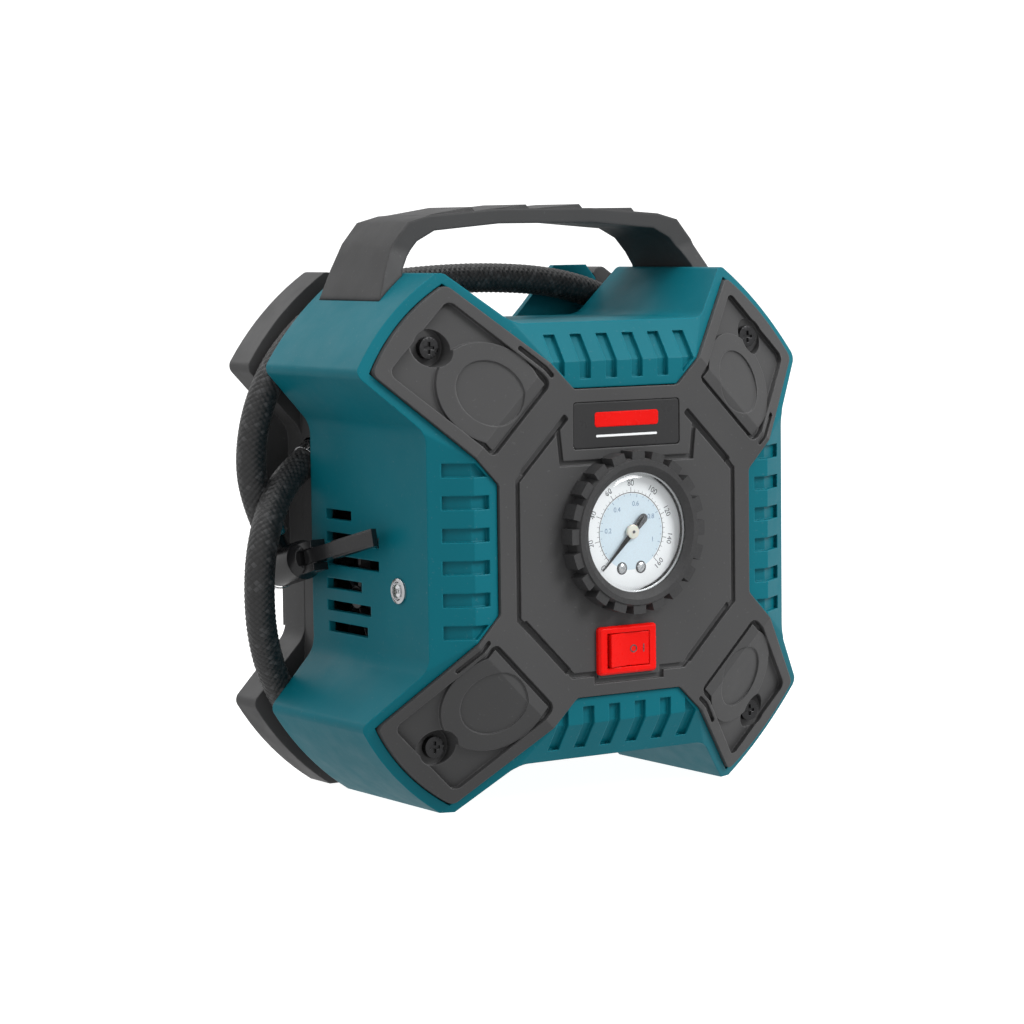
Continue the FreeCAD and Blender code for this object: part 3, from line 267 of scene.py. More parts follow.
def pigmented(name, colour, roughness):
    """Glossy coloured plastic whose thin edges are painted paler, a painted glow and highlight."""
    finish = Finish(name, Specular_IOR_Level=0.12, Coat_Weight=0.03, Coat_Roughness=0.18,
                    Subsurface_Weight=0.12, Subsurface_Scale=0.0015)
    flow = finish.noise(70.0, 2.0)
    body = finish.mix(finish.spread(flow, 0.0, 1.0), shade(colour, 0.93), shade(colour, 1.05))
    rounded = finish.rounded(0.0005)
    # edges painted paler: painted highlight and glow at the thin edges
    finish.into("Base Color", finish.mix(finish.edges(rounded), body, shade(colour, 1.25)))
    finish.into("Roughness", finish.spread(finish.noise(260.0), roughness - 0.04, roughness + 0.05))
    finish.into("Normal", finish.bump(finish.noise(1400.0, 2.0), 0.000008, 0.6, rounded))
    return finish.material


BRAID_STRANDS = 12          # yarns running each way round the hose
BRAID_PITCH = 1.9           # length of one diamond of the weave, two rows of yarn
BRAID_RELIEF = 0.3          # from the hollows to the crowns of the yarns
HOSE_RADIUS = 4.8


def braided():
    """Woven yarn cover: each diamond is one yarn on top, ribbed along its length; some carry grey thread; the
    hollows between the yarns carry painted shade.
    """
    finish = Finish("hose_braid", Specular_IOR_Level=0.6, Sheen_Weight=0.1, Sheen_Roughness=0.4)
    split = finish.node("SeparateXYZ", {0: finish.coordinates.outputs["UV"]})
    one_way = finish.math("ADD", split.outputs[0], split.outputs[1])
    other_way = finish.math("SUBTRACT", split.outputs[0], split.outputs[1])
    across, along = finish.math("FRACT", one_way), finish.math("FRACT", other_way)
    cells = finish.math("ADD", finish.math("FLOOR", one_way), finish.math("FLOOR", other_way))
    parity = finish.math("ROUND", finish.math("FRACT", finish.math("MULTIPLY", cells, 0.5)))
    strand = finish.node("Mix", {0: parity, 2: across, 3: along}, data_type="FLOAT").outputs[0]
    centred = finish.math("ABSOLUTE", finish.math("SUBTRACT", strand, 0.5))
    rib = finish.math("ABSOLUTE", finish.math("SINE", finish.math("MULTIPLY", strand, 4 * math.pi)))
    cell = finish.node("CombineXYZ", {0: finish.math("FLOOR", one_way), 1: finish.math("FLOOR", other_way)})
    chance = finish.node("TexWhiteNoise", {"Vector": cell.outputs[0]}, noise_dimensions="3D").outputs["Value"]
    yarn = finish.mix(chance, (0.010, 0.010, 0.0105), (0.024, 0.024, 0.025))
    grey = finish.math("GREATER_THAN", chance, 0.86)
    fleck = finish.math("MULTIPLY", grey, finish.spread(rib, 0.2, 1.0, (0, 1)))
    yarn = finish.mix(fleck, yarn, (0.060, 0.060, 0.062))
    # painted shade: the hollows between the yarns are painted near black
    valley_shade = finish.spread(centred, 0.0, 1.0, (0.34, 0.5))
    finish.into("Base Color", finish.mix(valley_shade, yarn, (0.002, 0.002, 0.002)))
    finish.into("Roughness", finish.spread(chance, 0.34, 0.55, (0, 1)))
    finish.into("Normal", finish.bump(rib, 0.00006, 0.8))
    return finish.material


TEAL = (0.0015, 0.135, 0.175)
CHARCOAL = (0.062, 0.062, 0.063)
STRAP_GREY = (0.058, 0.058, 0.059)
GLOSS_BLACK = (0.010, 0.010, 0.011)
RED = (0.85, 0.006, 0.004)

# edge: how much paler the rounded edges are painted, partly wear and partly painted highlight
FINISHES = {
    "teal_shell": moulded("teal_shell", TEAL, 0.42, depth=0.000014),
    "charcoal_shell": moulded("charcoal_shell", CHARCOAL, 0.44, 1700.0, edge=1.9, specular=0.22, radius=0.0006),
    "strap_rubber": moulded("strap_rubber", STRAP_GREY, 0.50, 1300.0, radius=0.0011),
    "black_plastic": moulded("black_plastic", GLOSS_BLACK, 0.22, edge=3.0, specular=0.5, radius=0.0004),
    "bezel_rubber": rubbery("bezel_rubber", (0.036, 0.036, 0.037)),
    "dial_face": enamelled(),
    "clear_lens": clear("clear_lens", (0.97, 0.99, 1.0)),
    "pointer_black": printed("pointer_black", (0.012, 0.012, 0.013)),
    "brass": machined("brass", (0.72, 0.52, 0.24), 0.28, (1.0, 0.1, 1.0)),
    "steel": machined("steel", (0.62, 0.62, 0.63), 0.22, (1.0, 0.15, 1.0)),
    "zinc_screw": machined("zinc_screw", (0.78, 0.78, 0.79), 0.18, (1.0, 0.5, 1.0)),
    "black_screw": machined("black_screw", (0.060, 0.060, 0.062), 0.30, (1.0, 0.5, 1.0)),
    "switch_red": pigmented("switch_red", RED, 0.24),
    "rocker_red": pigmented("rocker_red", RED, 0.28),
    "lamp_clear": clear("lamp_clear", (0.96, 0.97, 0.99), 0.03),
    "circuit_board": circuit(),
    "can_steel": machined("can_steel", (0.38, 0.38, 0.39), 0.34, (0.08, 1.0, 1.0)),
    "magnet": machined("magnet", (0.07, 0.07, 0.07), 0.5),
    "pump_alloy": machined("pump_alloy", (0.60, 0.60, 0.62), 0.42, scale=700.0),
    "gear_nylon": translucent("gear_nylon", (0.80, 0.77, 0.68)),
    "seal_rubber": rubbery("seal_rubber", (0.02, 0.02, 0.02)),
    "pipe_silicone": translucent("pipe_silicone", (0.55, 0.55, 0.50)),
    "hose_braid": braided(),
    "plate_blank": moulded("plate_blank", (0.038, 0.038, 0.039), 0.30, depth=0.000006, edge=2.0),
}


# ---------------------------------------------------------------- mesh helpers
def settled(name, mesh):
    """Mesh data from a bmesh, which is freed."""
    data = bpy.data.meshes.new(name)
    mesh.to_mesh(data)
    mesh.free()
    return data


def join(mesh, other):
    """Adds the bmesh other to mesh."""
    data = settled("joined", other)
    mesh.from_mesh(data)
    bpy.data.meshes.remove(data)


def traced(name, curve):
    """The mesh of a curve or a text."""
    drawn = linked(name, curve)
    bpy.context.view_layer.update()
    mesh = bpy.data.meshes.new_from_object(drawn.evaluated_get(bpy.context.evaluated_depsgraph_get()))
    bpy.data.objects.remove(drawn)
    return mesh


def piece(name, mesh, finish, body, stands_for=()):
    """A new object from a bmesh already in the row frame, riding a body."""
    data = settled(name, mesh)
    data.materials.append(finish)
    made = linked(name, data)
    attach(made, body)
    if stands_for:
        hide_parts(*stands_for)
    return made


def measured(mesh):
    """Surface area and volume of a mesh."""
    solid = bmesh.new()
    solid.from_mesh(mesh)
    area, volume = sum(face.calc_area() for face in solid.faces), abs(solid.calc_volume())
    solid.free()
    return area, volume


def creased(mesh, angle):
    """Keeps the edges sharper than angle hard when the faces beside them are shaded smooth."""
    solid = bmesh.new()
    solid.from_mesh(mesh)
    for edge in solid.edges:
        edge.smooth = len(edge.link_faces) == 2 and edge.calc_face_angle(0.0) < math.radians(angle)
    solid.to_mesh(mesh)
    solid.free()


AREA_GROWTH = 1.002         # rounding only takes area away, so more than this means that it folded over
VOLUME_CHANGE = 0.12        # the largest share of its volume that rounding may change


def rounding_holds(made, width, segments, angle):
    """Rounds made's edges sharper than angle, and takes the rounding off again if an edge is too tight."""
    area, volume = measured(made.data)
    rounding = made.modifiers.new("rounding", "BEVEL")
    rounding.width, rounding.segments = width * MM, segments
    rounding.limit_method, rounding.angle_limit = "ANGLE", math.radians(angle)
    rounding.use_clamp_overlap, rounding.miter_outer = False, "MITER_ARC"
    bpy.context.view_layer.update()
    evaluated = made.evaluated_get(bpy.context.evaluated_depsgraph_get())
    new_area, new_volume = measured(evaluated.data)
    holds = new_area <= area * AREA_GROWTH and abs(new_volume / volume - 1) <= VOLUME_CHANGE
    if not holds:
        print("edges left hard:", made.name, round(new_area / area, 4), round(new_volume / volume, 4))
        made.modifiers.remove(rounding)
    return holds


def soften(made, width, segments=2, angle=26.0):
    """Shades made smooth and keeps its flats flat; a width rounds the edges sharper than angle, if it fits."""
    for face in made.data.polygons:
        face.use_smooth = True
    if not width or not rounding_holds(made, width, segments, angle):
        creased(made.data, angle)
    weighted = made.modifiers.new("flats", "WEIGHTED_NORMAL")
    weighted.keep_sharp, weighted.weight = True, 80
    return made


def dressed(node, width, segments=2, angle=26.0):
    """A CAD node with its vertices joined and its edges rounded the way the real piece is moulded or turned."""
    mesh = bmesh.new()
    mesh.from_mesh(NODES[node].data)
    bmesh.ops.remove_doubles(mesh, verts=mesh.verts, dist=2e-6)
    slot = SLOT_OF[node]
    made = piece(node + "_dressed", mesh, FINISHES[slot], BODY_OF[node], [node])
    return soften(made, width, segments, angle)


def lathe(profile, segments=96):
    """A surface of revolution about Y from (radius, y) pairs, closed where a radius is 0."""
    mesh = bmesh.new()
    rings = []
    for radius, y in profile:
        if radius < 1e-6:
            rings.append([mesh.verts.new((0, y, 0))] * segments)
            continue
        ring = []
        for k in range(segments):
            angle = 2 * math.pi * k / segments
            ring.append(mesh.verts.new((radius * math.sin(angle), y, radius * math.cos(angle))))
        rings.append(ring)
    for first, second in zip(rings, rings[1:]):
        for k in range(segments):
            corners = [first[k], first[(k + 1) % segments], second[(k + 1) % segments], second[k]]
            unique = list(dict.fromkeys(corners))
            if len(unique) > 2:
                mesh.faces.new(unique)
    bmesh.ops.recalc_face_normals(mesh, faces=mesh.faces)
    return mesh


def slab(outline, front, rear):
    """A flat plate across Y with the outline given as (x, z) pairs."""
    mesh = bmesh.new()
    face = mesh.faces.new([mesh.verts.new((x, front, z)) for x, z in outline])
    grown = bmesh.ops.extrude_face_region(mesh, geom=[face])
    moved = [v for v in grown["geom"] if isinstance(v, bmesh.types.BMVert)]
    bmesh.ops.translate(mesh, verts=moved, vec=(0, rear - front, 0))
    bmesh.ops.recalc_face_normals(mesh, faces=mesh.faces)
    return mesh


def rounded_outline(wide, high, radius, steps=6):
    """A rectangle's (x, z) pairs with an arc of steps chords at each corner."""
    outline = []
    for quarter, (sx, sz) in enumerate(((1, 1), (-1, 1), (-1, -1), (1, -1))):
        for k in range(steps + 1):
            angle = math.pi / 2 * (quarter + k / steps)
            outline.append((sx * (wide / 2 - radius) + radius * math.cos(angle),
                            sz * (high / 2 - radius) + radius * math.sin(angle)))
    return outline


def ring_strip(mesh, inner, outer, y, start=0.0, end=360.0):
    """Adds a flat printed arc; angles run clockwise from the top, seen from the front."""
    steps = max(2, int(abs(end - start) / 3))
    pairs = []
    for k in range(steps + 1):
        angle = math.radians(start + (end - start) * k / steps)
        side, upward = math.sin(angle), math.cos(angle)
        pairs.append((mesh.verts.new((inner * side, y, inner * upward)),
                      mesh.verts.new((outer * side, y, outer * upward))))
    for (a, b), (c, d) in zip(pairs, pairs[1:]):
        mesh.faces.new((a, b, d, c))


def placed(mesh, *matrices):
    """Takes a mesh from its own frame in millimetres to the row frame."""
    whole = TO_ROW.copy()
    for matrix in matrices:
        whole = whole @ matrix
    bmesh.ops.transform(mesh, matrix=whole, verts=mesh.verts)
    return mesh


def subtract(made, cutter_mesh):
    """Cuts cutter_mesh, a bmesh in the row frame, out of made's own mesh."""
    cutter = linked("cutter", settled("cutter", cutter_mesh))
    boolean = made.modifiers.new("cut", "BOOLEAN")
    boolean.object, boolean.solver = cutter, "EXACT"
    evaluated = made.evaluated_get(bpy.context.evaluated_depsgraph_get())
    result = bpy.data.meshes.new_from_object(evaluated)
    made.modifiers.remove(boolean)
    made.data = result
    bpy.data.objects.remove(cutter)


# ---------------------------------------------------------------- housing
PLATE_BAR_HEIGHT, PLATE_LINE_HEIGHT = 37.6, 32.6    # of the two marks on the name plate


def make_housing():
    for node in ("front_shell", "front_cover", "rear_cover", "hose_guide"):
        dressed(node, 0.0)
    dressed("carry_handle", 0.0, angle=50.0)
    dressed("name_plate", 0.15)
    dressed("lamp_ring", 0.15)
    # generic marks printed on the blank plate: one bar and one thin line
    bar = slab(rounded_outline(24.0, 4.6, 1.0), 0.16, 0.26)
    piece("plate_bar", placed(bar, Matrix.Translation((0, 0, PLATE_BAR_HEIGHT))), FINISHES["switch_red"],
          "housing")
    line = slab(rounded_outline(23.0, 0.7, 0.3), 0.18, 0.26)
    piece("plate_line", placed(line, Matrix.Translation((0, 0, PLATE_LINE_HEIGHT))), FINISHES["dial_face"],
          "housing")


# ---------------------------------------------------------------- gauge
SCALE_START, SCALE_SWEEP, SCALE_END = -135.0, 270.0, 160    # degrees, degrees, last number
NUMBER_STEP, TICK_STEP = 20, 4
INNER_NUMBER_STEP, INNER_TICK_STEP = 29.0, 7.25             # of the inner scale, in the outer scale's unit
INNER_NUMBERS, INNER_TICKS, INNER_TICKS_PER_NUMBER = 5, 23, 4
OUTER_CIRCLE, INNER_CIRCLE = 12.2, 11.7                     # radii that the ticks stand on
DIAL_FRONT = -1.12                                          # just in front of the enamel
CAP_HEIGHT = 0.7                                            # of a digit, as a share of the font's size


def scale_angle(value):
    return SCALE_START + SCALE_SWEEP * value / SCALE_END


def write(mesh, text, height, radius, angle, turn):
    """Adds a number to mesh, its middle at radius and angle on the dial."""
    data = bpy.data.curves.new("number", "FONT")
    data.body, data.size = text, height / CAP_HEIGHT
    data.align_x, data.align_y = "CENTER", "CENTER"
    data.extrude, data.resolution_u = 0.012, 4
    outline = traced("number", data)
    spot = (radius * math.sin(math.radians(angle)), DIAL_FRONT, radius * math.cos(math.radians(angle)))
    upright = Matrix.Rotation(math.radians(90), 4, "X")
    outline.transform(Matrix.Translation(spot) @ Matrix.Rotation(math.radians(turn), 4, "Y") @ upright)
    mesh.from_mesh(outline)
    bpy.data.meshes.remove(outline)


def make_outer_scale():
    """Numbers 0 to 160 with their ticks; the numbers below the middle are turned to stay upright."""
    scale = bmesh.new()
    for value in range(0, SCALE_END + 1, NUMBER_STEP):
        angle = scale_angle(value)
        turn = angle if abs(angle) < 110 else angle - math.copysign(180, angle)
        write(scale, str(value), 1.75, 14.9, angle, turn)
    for value in range(0, SCALE_END + 1, TICK_STEP):
        length, width = (1.5, 0.75) if value % NUMBER_STEP == 0 else (0.75, 0.45)
        angle = scale_angle(value)
        first, last = angle - width / 2, angle + width / 2
        ring_strip(scale, OUTER_CIRCLE, OUTER_CIRCLE + length, DIAL_FRONT, first, last)
    ring_strip(scale, OUTER_CIRCLE - 0.25, OUTER_CIRCLE, DIAL_FRONT, SCALE_START, SCALE_START + SCALE_SWEEP)
    piece("dial_scale", placed(scale, GAUGE), printed("scale_ink", (0.035, 0.04, 0.05)), "housing")


def make_inner_scale():
    """Numbers 0.2 to 1 in a second unit, with their ticks."""
    scale = bmesh.new()
    for step in range(1, INNER_NUMBERS + 1):
        number = "1" if step == INNER_NUMBERS else f"0.{2 * step}"
        write(scale, number, 1.5, 8.7, scale_angle(step * INNER_NUMBER_STEP), 0.0)
    for step in range(INNER_TICKS):
        angle = scale_angle(step * INNER_TICK_STEP)
        length = 1.0 if step % INNER_TICKS_PER_NUMBER == 0 else 0.55
        ring_strip(scale, INNER_CIRCLE - length, INNER_CIRCLE, DIAL_FRONT, angle - 0.4, angle + 0.4)
    piece("dial_inner_scale", placed(scale, GAUGE), printed("inner_ink", (0.10, 0.22, 0.38)), "housing")


def make_tint():
    """The tinted middle of the dial, open round the pointer's shaft."""
    tinted = bmesh.new()
    ring_strip(tinted, 1.2, 11.8, DIAL_FRONT + 0.012)
    piece("dial_tint", placed(tinted, GAUGE), printed("tint_ink", (0.66, 0.79, 0.87)), "housing")


WINDOW_CREST, WINDOW_RISE, WINDOW_RADIUS = -5.75, 0.62, 16.6
WINDOW_ARC, WINDOW_STEPS = 78, 12


def make_window():
    """Domed window with a rolled shoulder; it darkens nothing behind it."""
    front = [(0.0, WINDOW_CREST)]
    for k in range(1, WINDOW_STEPS + 1):
        angle = math.radians(WINDOW_ARC * k / WINDOW_STEPS)
        front.append((WINDOW_RADIUS * math.sin(angle) / math.sin(math.radians(WINDOW_ARC)),
                      WINDOW_CREST + WINDOW_RISE * (1 - math.cos(angle))))
    front += [(17.2, -5.08), (17.8, -4.8), (18.2, -4.45), (18.3, -4.3), (20.3, -4.25), (20.3, -3.0)]
    inside = [(17.6, -3.0), (17.0, -3.6), (16.2, -3.95), (12.0, -4.25), (6.0, -4.45), (0.0, -4.5)]
    window = piece("gauge_window", placed(lathe(front + inside, 128), GAUGE), FINISHES["clear_lens"], "housing",
                   ["gauge_lens"])
    soften(window, 0.0)
    window.visible_shadow = window.visible_diffuse = False


POINTER_REST = 225          # degrees from the top: the pointer rests on 0
TAIL_LENGTH, TAIL_RADIUS = 5.6, 1.45


def make_pointer():
    """Tapered blade with a rounded counterweight on a shaft, a nylon boss and a riveted end."""
    blade = [(-0.85, 0.0), (-0.16, 15.6), (0.0, 16.2), (0.16, 15.6), (0.85, 0.0)]
    tail = [(0.95, -0.4), (1.25, -3.0)]
    for k in range(9):
        angle = math.pi * k / 8
        tail.append((TAIL_RADIUS * math.cos(angle), -TAIL_LENGTH - TAIL_RADIUS * math.sin(angle)))
    tail += [(-1.25, -3.0), (-0.95, -0.4)]
    pointer = slab(blade + tail[::-1], -2.35, -2.05)
    join(pointer, lathe([(0.0, -2.1), (0.9, -2.1), (0.9, 9.0), (0.0, 9.0)], 24))
    turn = Matrix.Rotation(math.radians(POINTER_REST), 4, "Y")
    soften(piece("pointer", placed(pointer, GAUGE, turn), FINISHES["pointer_black"], "needle",
                 ["gauge_needle"]), 0.05)
    boss = lathe([(0.0, -2.75), (0.45, -2.73), (0.6, -2.6), (0.75, -2.6), (2.0, -2.5), (2.25, -2.3),
                  (2.25, -1.5), (0.0, -1.5)], 48)
    soften(piece("pointer_boss", placed(boss, GAUGE), FINISHES["gear_nylon"], "needle"), 0.06)
    rivet = lathe([(0.0, -2.95), (0.3, -2.9), (0.5, -2.74), (0.5, -2.6), (0.0, -2.6)], 32)
    soften(piece("pointer_rivet", placed(rivet, GAUGE), FINISHES["pointer_black"], "needle"), 0.0)


DIAL_SCREWS = {"dial_screw_left": (-3.6, 38), "dial_screw_right": (3.6, -52)}     # side, turn of the slot
DIAL_SCREW_HEIGHT = -11.2


def make_screw_recesses():
    """Dark rings round the dial screws: painted shadow, standing in for the shade in the screws' recesses."""
    painted_shadow_rings = bmesh.new()
    for side, _ in DIAL_SCREWS.values():
        ring = bmesh.new()
        # a flat black ring of painted shadow round each screw
        ring_strip(ring, 1.5, 1.95, DIAL_FRONT - 0.01)
        bmesh.ops.translate(ring, verts=ring.verts, vec=(side, 0, DIAL_SCREW_HEIGHT))
        join(painted_shadow_rings, ring)
    piece("painted_screw_shadows", placed(painted_shadow_rings, GAUGE), FINISHES["pointer_black"], "housing")


def make_dial_screws():
    """Screws with raised slotted heads."""
    for name, (side, slot_turn) in DIAL_SCREWS.items():
        head = lathe([(0.0, -1.85), (0.5, -1.84), (1.0, -1.75), (1.4, -1.55), (1.55, -1.3), (1.55, -1.12),
                      (0.6, -1.12), (0.6, 3.0), (0.0, 3.0)], 48)
        spot = Matrix.Translation((side, 0, DIAL_SCREW_HEIGHT))
        slot_cut = slab([(-2.0, -0.2), (2.0, -0.2), (2.0, 0.2), (-2.0, 0.2)], -2.5, -1.5)
        turn = Matrix.Rotation(math.radians(slot_turn), 4, "Y")
        made = piece(name, placed(head, GAUGE, spot), FINISHES["zinc_screw"], "housing")
        subtract(made, placed(slot_cut, GAUGE, spot, turn))
        soften(made, 0.0)
        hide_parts("dial_screws")


def make_gauge():
    dressed("gauge_bezel", 0.35, angle=24.0)
    dressed("gauge_dial", 0.0)
    make_outer_scale()
    make_inner_scale()
    make_tint()
    make_window()
    make_pointer()
    # painted shadow rings round the dial screws
    make_screw_recesses()
    make_dial_screws()


# ---------------------------------------------------------------- switch
ROCKER_PIVOT, ROCKER_TILT = 1.6, 4.2
ROCKER_HALF, ROCKER_CREST, ROCKER_WING = 7.5, -1.1, -2.35


def make_switch():
    """Red housing and rocker, with a ring and a bar printed on the rocker's right wing."""
    dressed("switch_housing", 0.0)
    dressed("switch_rocker", 0.35, 3)
    tilt = (Matrix.Translation((0, ROCKER_PIVOT, 0)) @ Matrix.Rotation(math.radians(ROCKER_TILT), 4, "Z")
            @ Matrix.Translation((0, -ROCKER_PIVOT, 0)))
    lean = math.atan2(ROCKER_WING - ROCKER_CREST, ROCKER_HALF)
    marks = bmesh.new()
    ring_strip(marks, 0.85, 1.25, 0.0)
    bmesh.ops.translate(marks, verts=marks.verts, vec=(2.1, 0, 0))
    join(marks, slab([(5.55, -1.25), (5.95, -1.25), (5.95, 1.25), (5.55, 1.25)], -0.01, 0.01))
    wing = Matrix.Translation((0, ROCKER_CREST - 0.06, 0)) @ Matrix.Rotation(lean, 4, "Z")
    ink = printed("rocker_ink", (0.05, 0.002, 0.002))
    piece("rocker_marks", placed(marks, SWITCH, tilt, wing), ink, "rocker")


# ---------------------------------------------------------------- lamp
def make_lamp():
    """The clear dome, which lets the light through to its board."""
    NODES["lamp_lens"].visible_shadow = False
    dressed("lamp_board", 0.1)


# ---------------------------------------------------------------- hose and chuck
HOSE_ROUTE = [
    (-65.6, 83.0, 23.4), (-73.0, 81.4, 19.0), (-80.0, 77.6, 12.4), (-86.0, 73.6, 4.0), (-89.2, 72.0, -6.4),
    (-89.2, 73.0, -17.8), (-86.4, 76.6, -29.6), (-81.2, 81.0, -41.6), (-74.4, 82.7, -53.6), (-64.4, 82.7, -64.6),
    (-51.6, 82.7, -73.0), (-34.0, 82.7, -76.6), (-8.0, 82.7, -77.0), (22.0, 82.7, -76.4), (46.0, 82.7, -73.6),
    (62.0, 82.7, -65.2), (73.2, 82.7, -51.6), (78.2, 82.7, -32.0), (79.2, 82.7, -6.0), (78.6, 82.7, 20.0),
    (75.6, 82.7, 42.0), (66.2, 82.7, 59.6), (51.2, 82.7, 72.6), (30.0, 82.7, 78.4), (6.0, 82.7, 80.2),
    (-18.0, 82.7, 79.8), (-42.0, 82.7, 77.8), (-62.0, 82.7, 68.6), (-75.4, 82.7, 55.6), (-83.0, 82.9, 41.0),
    (-85.6, 83.6, 26.0), (-84.0, 84.2, 13.6), (-80.6, 83.2, 4.6)]
RING_SPACING, RING_POINTS = 0.32, 96        # of the rings that the hose's skin is laid over


def centreline(points, spacing):
    """Evenly spaced points on the NURBS curve through the route's control points, in metres."""
    data = bpy.data.curves.new("hose_line", "CURVE")
    data.dimensions, data.resolution_u = "3D", 24
    spline = data.splines.new("NURBS")
    spline.points.add(len(points) - 1)
    for control, point in zip(spline.points, points):
        control.co = (*at(*point), 1.0)
    spline.order_u = 3
    spline.use_endpoint_u = True
    fine = [v.co.copy() for v in traced("hose_line", data).vertices]
    steps = [(b - a).length for a, b in zip(fine, fine[1:])]
    count = round(sum(steps) / spacing)
    even, travelled, k = [fine[0]], 0.0, 0
    for n in range(1, count):
        wanted = sum(steps) * n / count
        while travelled + steps[k] < wanted:
            travelled += steps[k]
            k += 1
        even.append(fine[k].lerp(fine[k + 1], (wanted - travelled) / steps[k]))
    return even + [fine[-1]]


def braid_height(u, v):
    """0 in the hollows between yarns to 1 on a yarn's crown, for lattice coordinates u and v."""
    one_way, other_way = u + v, u - v
    a, b = one_way % 1.0, other_way % 1.0
    if (math.floor(one_way) + math.floor(other_way)) % 2:
        a, b = b, a
    crown = math.sqrt(max(0.0, 1 - (2 * a - 1) ** 2))
    arch = 1 - (2 * b - 1) ** 2
    return crown * (0.45 + 0.55 * arch)


def braid_rings(mesh, path):
    """Rings of vertices square to the path, and the lattice coordinate of each along the hose."""
    tangent = (path[1] - path[0]).normalized()
    side = tangent.cross(Vector((0, 0, 1))).normalized()
    rings, lattice = [], []
    pitch = BRAID_PITCH * MM
    travelled = 0.0
    for k, point in enumerate(path):
        if k:
            travelled += (point - path[k - 1]).length
        ahead = path[min(k + 1, len(path) - 1)] - path[max(k - 1, 0)]
        tangent = ahead.normalized()
        side = (side - tangent * side.dot(tangent)).normalized()
        other = tangent.cross(side)
        v = travelled / pitch
        ring = []
        for n in range(RING_POINTS):
            angle = 2 * math.pi * n / RING_POINTS
            height = braid_height(BRAID_STRANDS * n / RING_POINTS, v)
            radius = (HOSE_RADIUS - BRAID_RELIEF + BRAID_RELIEF * 1.15 * height) * MM
            ring.append(mesh.verts.new(point + (side * math.cos(angle) + other * math.sin(angle)) * radius))
        rings.append(ring)
        lattice.append(v)
    return rings, lattice


def braided_skin(path):
    """The hose's woven skin along path, capped at both ends, with the weave's lattice as its UV map."""
    mesh = bmesh.new()
    layer = mesh.loops.layers.uv.new("UVMap")
    rings, lattice = braid_rings(mesh, path)
    for k in range(len(rings) - 1):
        for n in range(RING_POINTS):
            following = (n + 1) % RING_POINTS
            face = mesh.faces.new((rings[k][n], rings[k][following], rings[k + 1][following], rings[k + 1][n]))
            face.smooth = True
            marks = ((n, k), (n + 1, k), (n + 1, k + 1), (n, k + 1))
            for loop, (m, j) in zip(face.loops, marks):
                loop[layer].uv = (BRAID_STRANDS * m / RING_POINTS, lattice[j])
    mesh.faces.new(rings[0][::-1])
    mesh.faces.new(rings[-1])
    return mesh


def make_hose():
    path = centreline(HOSE_ROUTE, RING_SPACING * MM)
    hose = piece("braided_hose", braided_skin(path), FINISHES["hose_braid"], "housing",
                 ["air_hose"])
    fittings = [dressed(node, width) for node, width in (
        ("hose_ferrule", 0.5), ("chuck_body", 0.35), ("chuck_ring", 0.2), ("chuck_seal", 0.15),
        ("valve_probe", 0.25), ("lever_pin", 0.15), ("chuck_lever", 0.4))]


# ---------------------------------------------------------------- the other nodes
def make_small_parts():
    for node in ("cover_screws", "case_screws", "lead_gland", "hose_outlet", "gauge_case"):
        dressed(node, 0.12)


def finish_nodes():
    """Gives the nodes that keep their CAD mesh their finishes."""
    for name, node in NODES.items():
        for holder in node.material_slots:
            holder.material = FINISHES[SLOT_OF[name]]


# ---------------------------------------------------------------- stage and light
SWEEP_FRONT, SWEEP_BEND, SWEEP_RADIUS = -4.0, 3.0, 1.5
SWEEP_HALF_WIDTH, SWEEP_HEIGHT = 6.0, 5.0
SURROUND_RADIUS, SURROUND_FLOOR, SURROUND_HEIGHT, SURROUND_SIDES = 6.6, -0.004, 8.0, 64
PAPER_GLOW = 0.97
WORLD_STRENGTH = 0.66
SOFTBOXES = {       # place, size, power
    "key": ((0.9, -1.5, 1.3), (0.9, 0.9), 29.0),
    "top": ((-0.1, 0.2, 1.7), (1.3, 1.3), 15.0),
    "left": ((-1.7, -0.4, 0.7), (0.5, 1.2), 1.6),
    "rear": ((-0.6, 1.6, 1.0), (1.2, 0.8), 3.0),
}
LIGHT_AIM = Vector((0.0, 0.0, 0.09))


def glowing_paper():
    """White backdrop paper, bright enough to read as plain white."""
    paper = Finish("paper_sweep", Roughness=0.9, Specular_IOR_Level=0.1)
    fibres = paper.noise(900.0, 3.0)
    paper.into("Base Color", paper.mix(paper.spread(fibres, 0.0, 1.0), (0.36, 0.36, 0.36), (0.38, 0.38, 0.38)))
    paper.shader.inputs["Emission Color"].default_value = (1, 1, 1, 1)
    paper.shader.inputs["Emission Strength"].default_value = PAPER_GLOW
    return paper.material


def backdrop(name, mesh, paper):
    """A stage object that lights nothing and shows in no reflection."""
    data = settled(name, mesh)
    data.materials.append(paper)
    made = linked(name, data)
    made.visible_diffuse = made.visible_glossy = made.visible_transmission = False
    return made


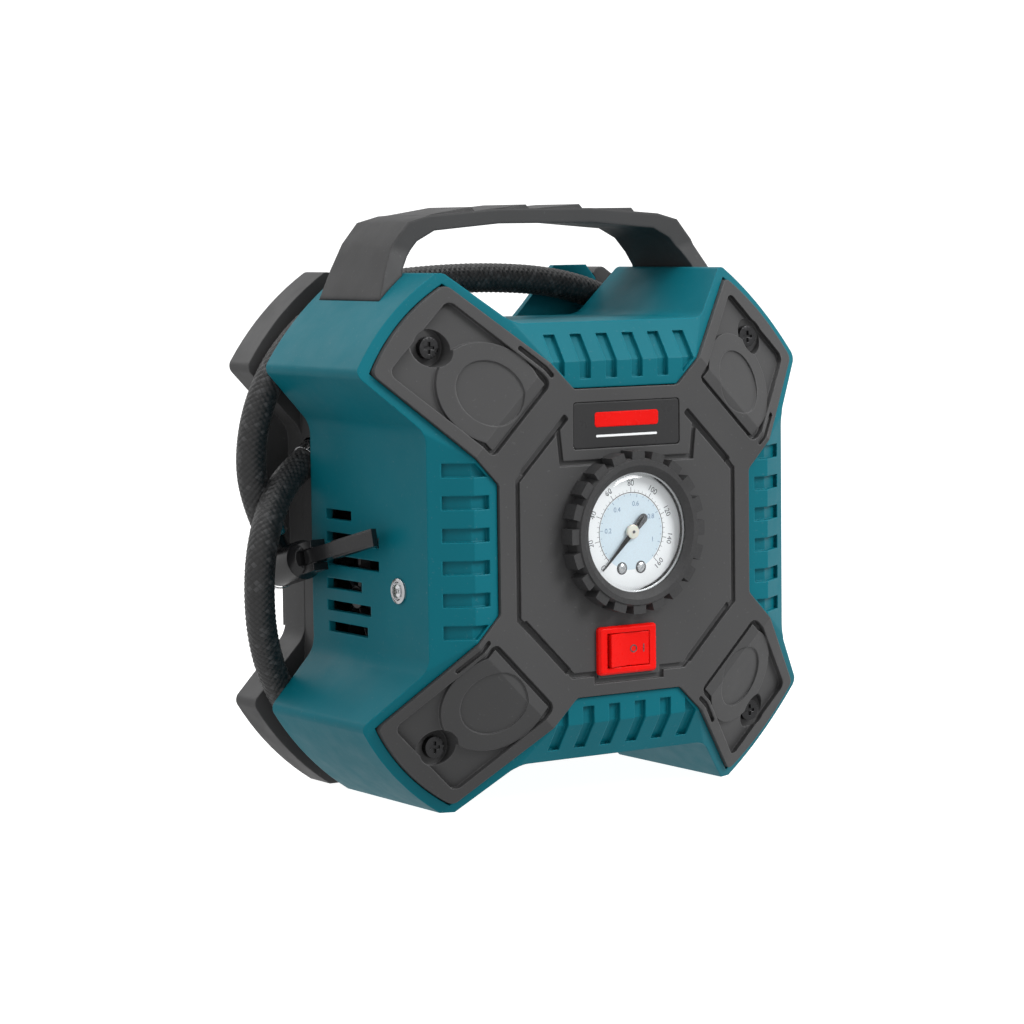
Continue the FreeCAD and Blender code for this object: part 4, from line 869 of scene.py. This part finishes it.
def make_stage():
    """A sweep behind the part, and the same white all round for the other views."""
    paper = glowing_paper()
    sweep = bmesh.new()
    profile = [(SWEEP_FRONT, 0.0), (SWEEP_BEND, 0.0)]
    for degrees in range(10, 91, 10):
        angle = math.radians(degrees)
        profile.append((SWEEP_BEND + SWEEP_RADIUS * math.sin(angle),
                        SWEEP_RADIUS - SWEEP_RADIUS * math.cos(angle)))
    profile.append((SWEEP_BEND + SWEEP_RADIUS, SWEEP_HEIGHT))
    pairs = [(sweep.verts.new((-SWEEP_HALF_WIDTH, y, z)), sweep.verts.new((SWEEP_HALF_WIDTH, y, z)))
             for y, z in profile]
    for (a, b), (c, d) in zip(pairs, pairs[1:]):
        sweep.faces.new((a, b, d, c)).smooth = True
    backdrop("sweep", sweep, paper)

    surround = bmesh.new()
    angles = [2 * math.pi * k / SURROUND_SIDES for k in range(SURROUND_SIDES)]
    low, high = [[surround.verts.new((SURROUND_RADIUS * math.cos(a), SURROUND_RADIUS * math.sin(a), z))
                  for a in angles] for z in (SURROUND_FLOOR, SURROUND_HEIGHT)]
    surround.faces.new(low)
    for k in range(SURROUND_SIDES):
        following = (k + 1) % SURROUND_SIDES
        surround.faces.new((low[k], low[following], high[following], high[k]))
    backdrop("surround", surround, paper).visible_shadow = False


def softbox(name, place, size, power):
    """A rectangular light aimed at the middle of the part."""
    data = bpy.data.lights.new(name, "AREA")
    data.shape, data.size, data.size_y = "RECTANGLE", size[0], size[1]
    data.energy = power
    lamp = linked(name, data)
    lamp.location = place
    lamp.rotation_euler = (LIGHT_AIM - Vector(place)).to_track_quat("-Z", "Y").to_euler()


def make_light():
    world = bpy.data.worlds.new("studio")
    world.use_nodes = True
    background = world.node_tree.nodes["Background"]
    background.inputs["Color"].default_value = (1, 1, 1, 1)
    background.inputs["Strength"].default_value = WORLD_STRENGTH
    bpy.context.scene.world = world
    for name, (place, size, power) in SOFTBOXES.items():
        softbox(name, place, size, power)
    bpy.context.scene.view_settings.view_transform = "Standard"


make_camera()
make_hose()
make_housing()
make_gauge()
make_switch()
make_lamp()
make_small_parts()
finish_nodes()
make_stage()
make_light()
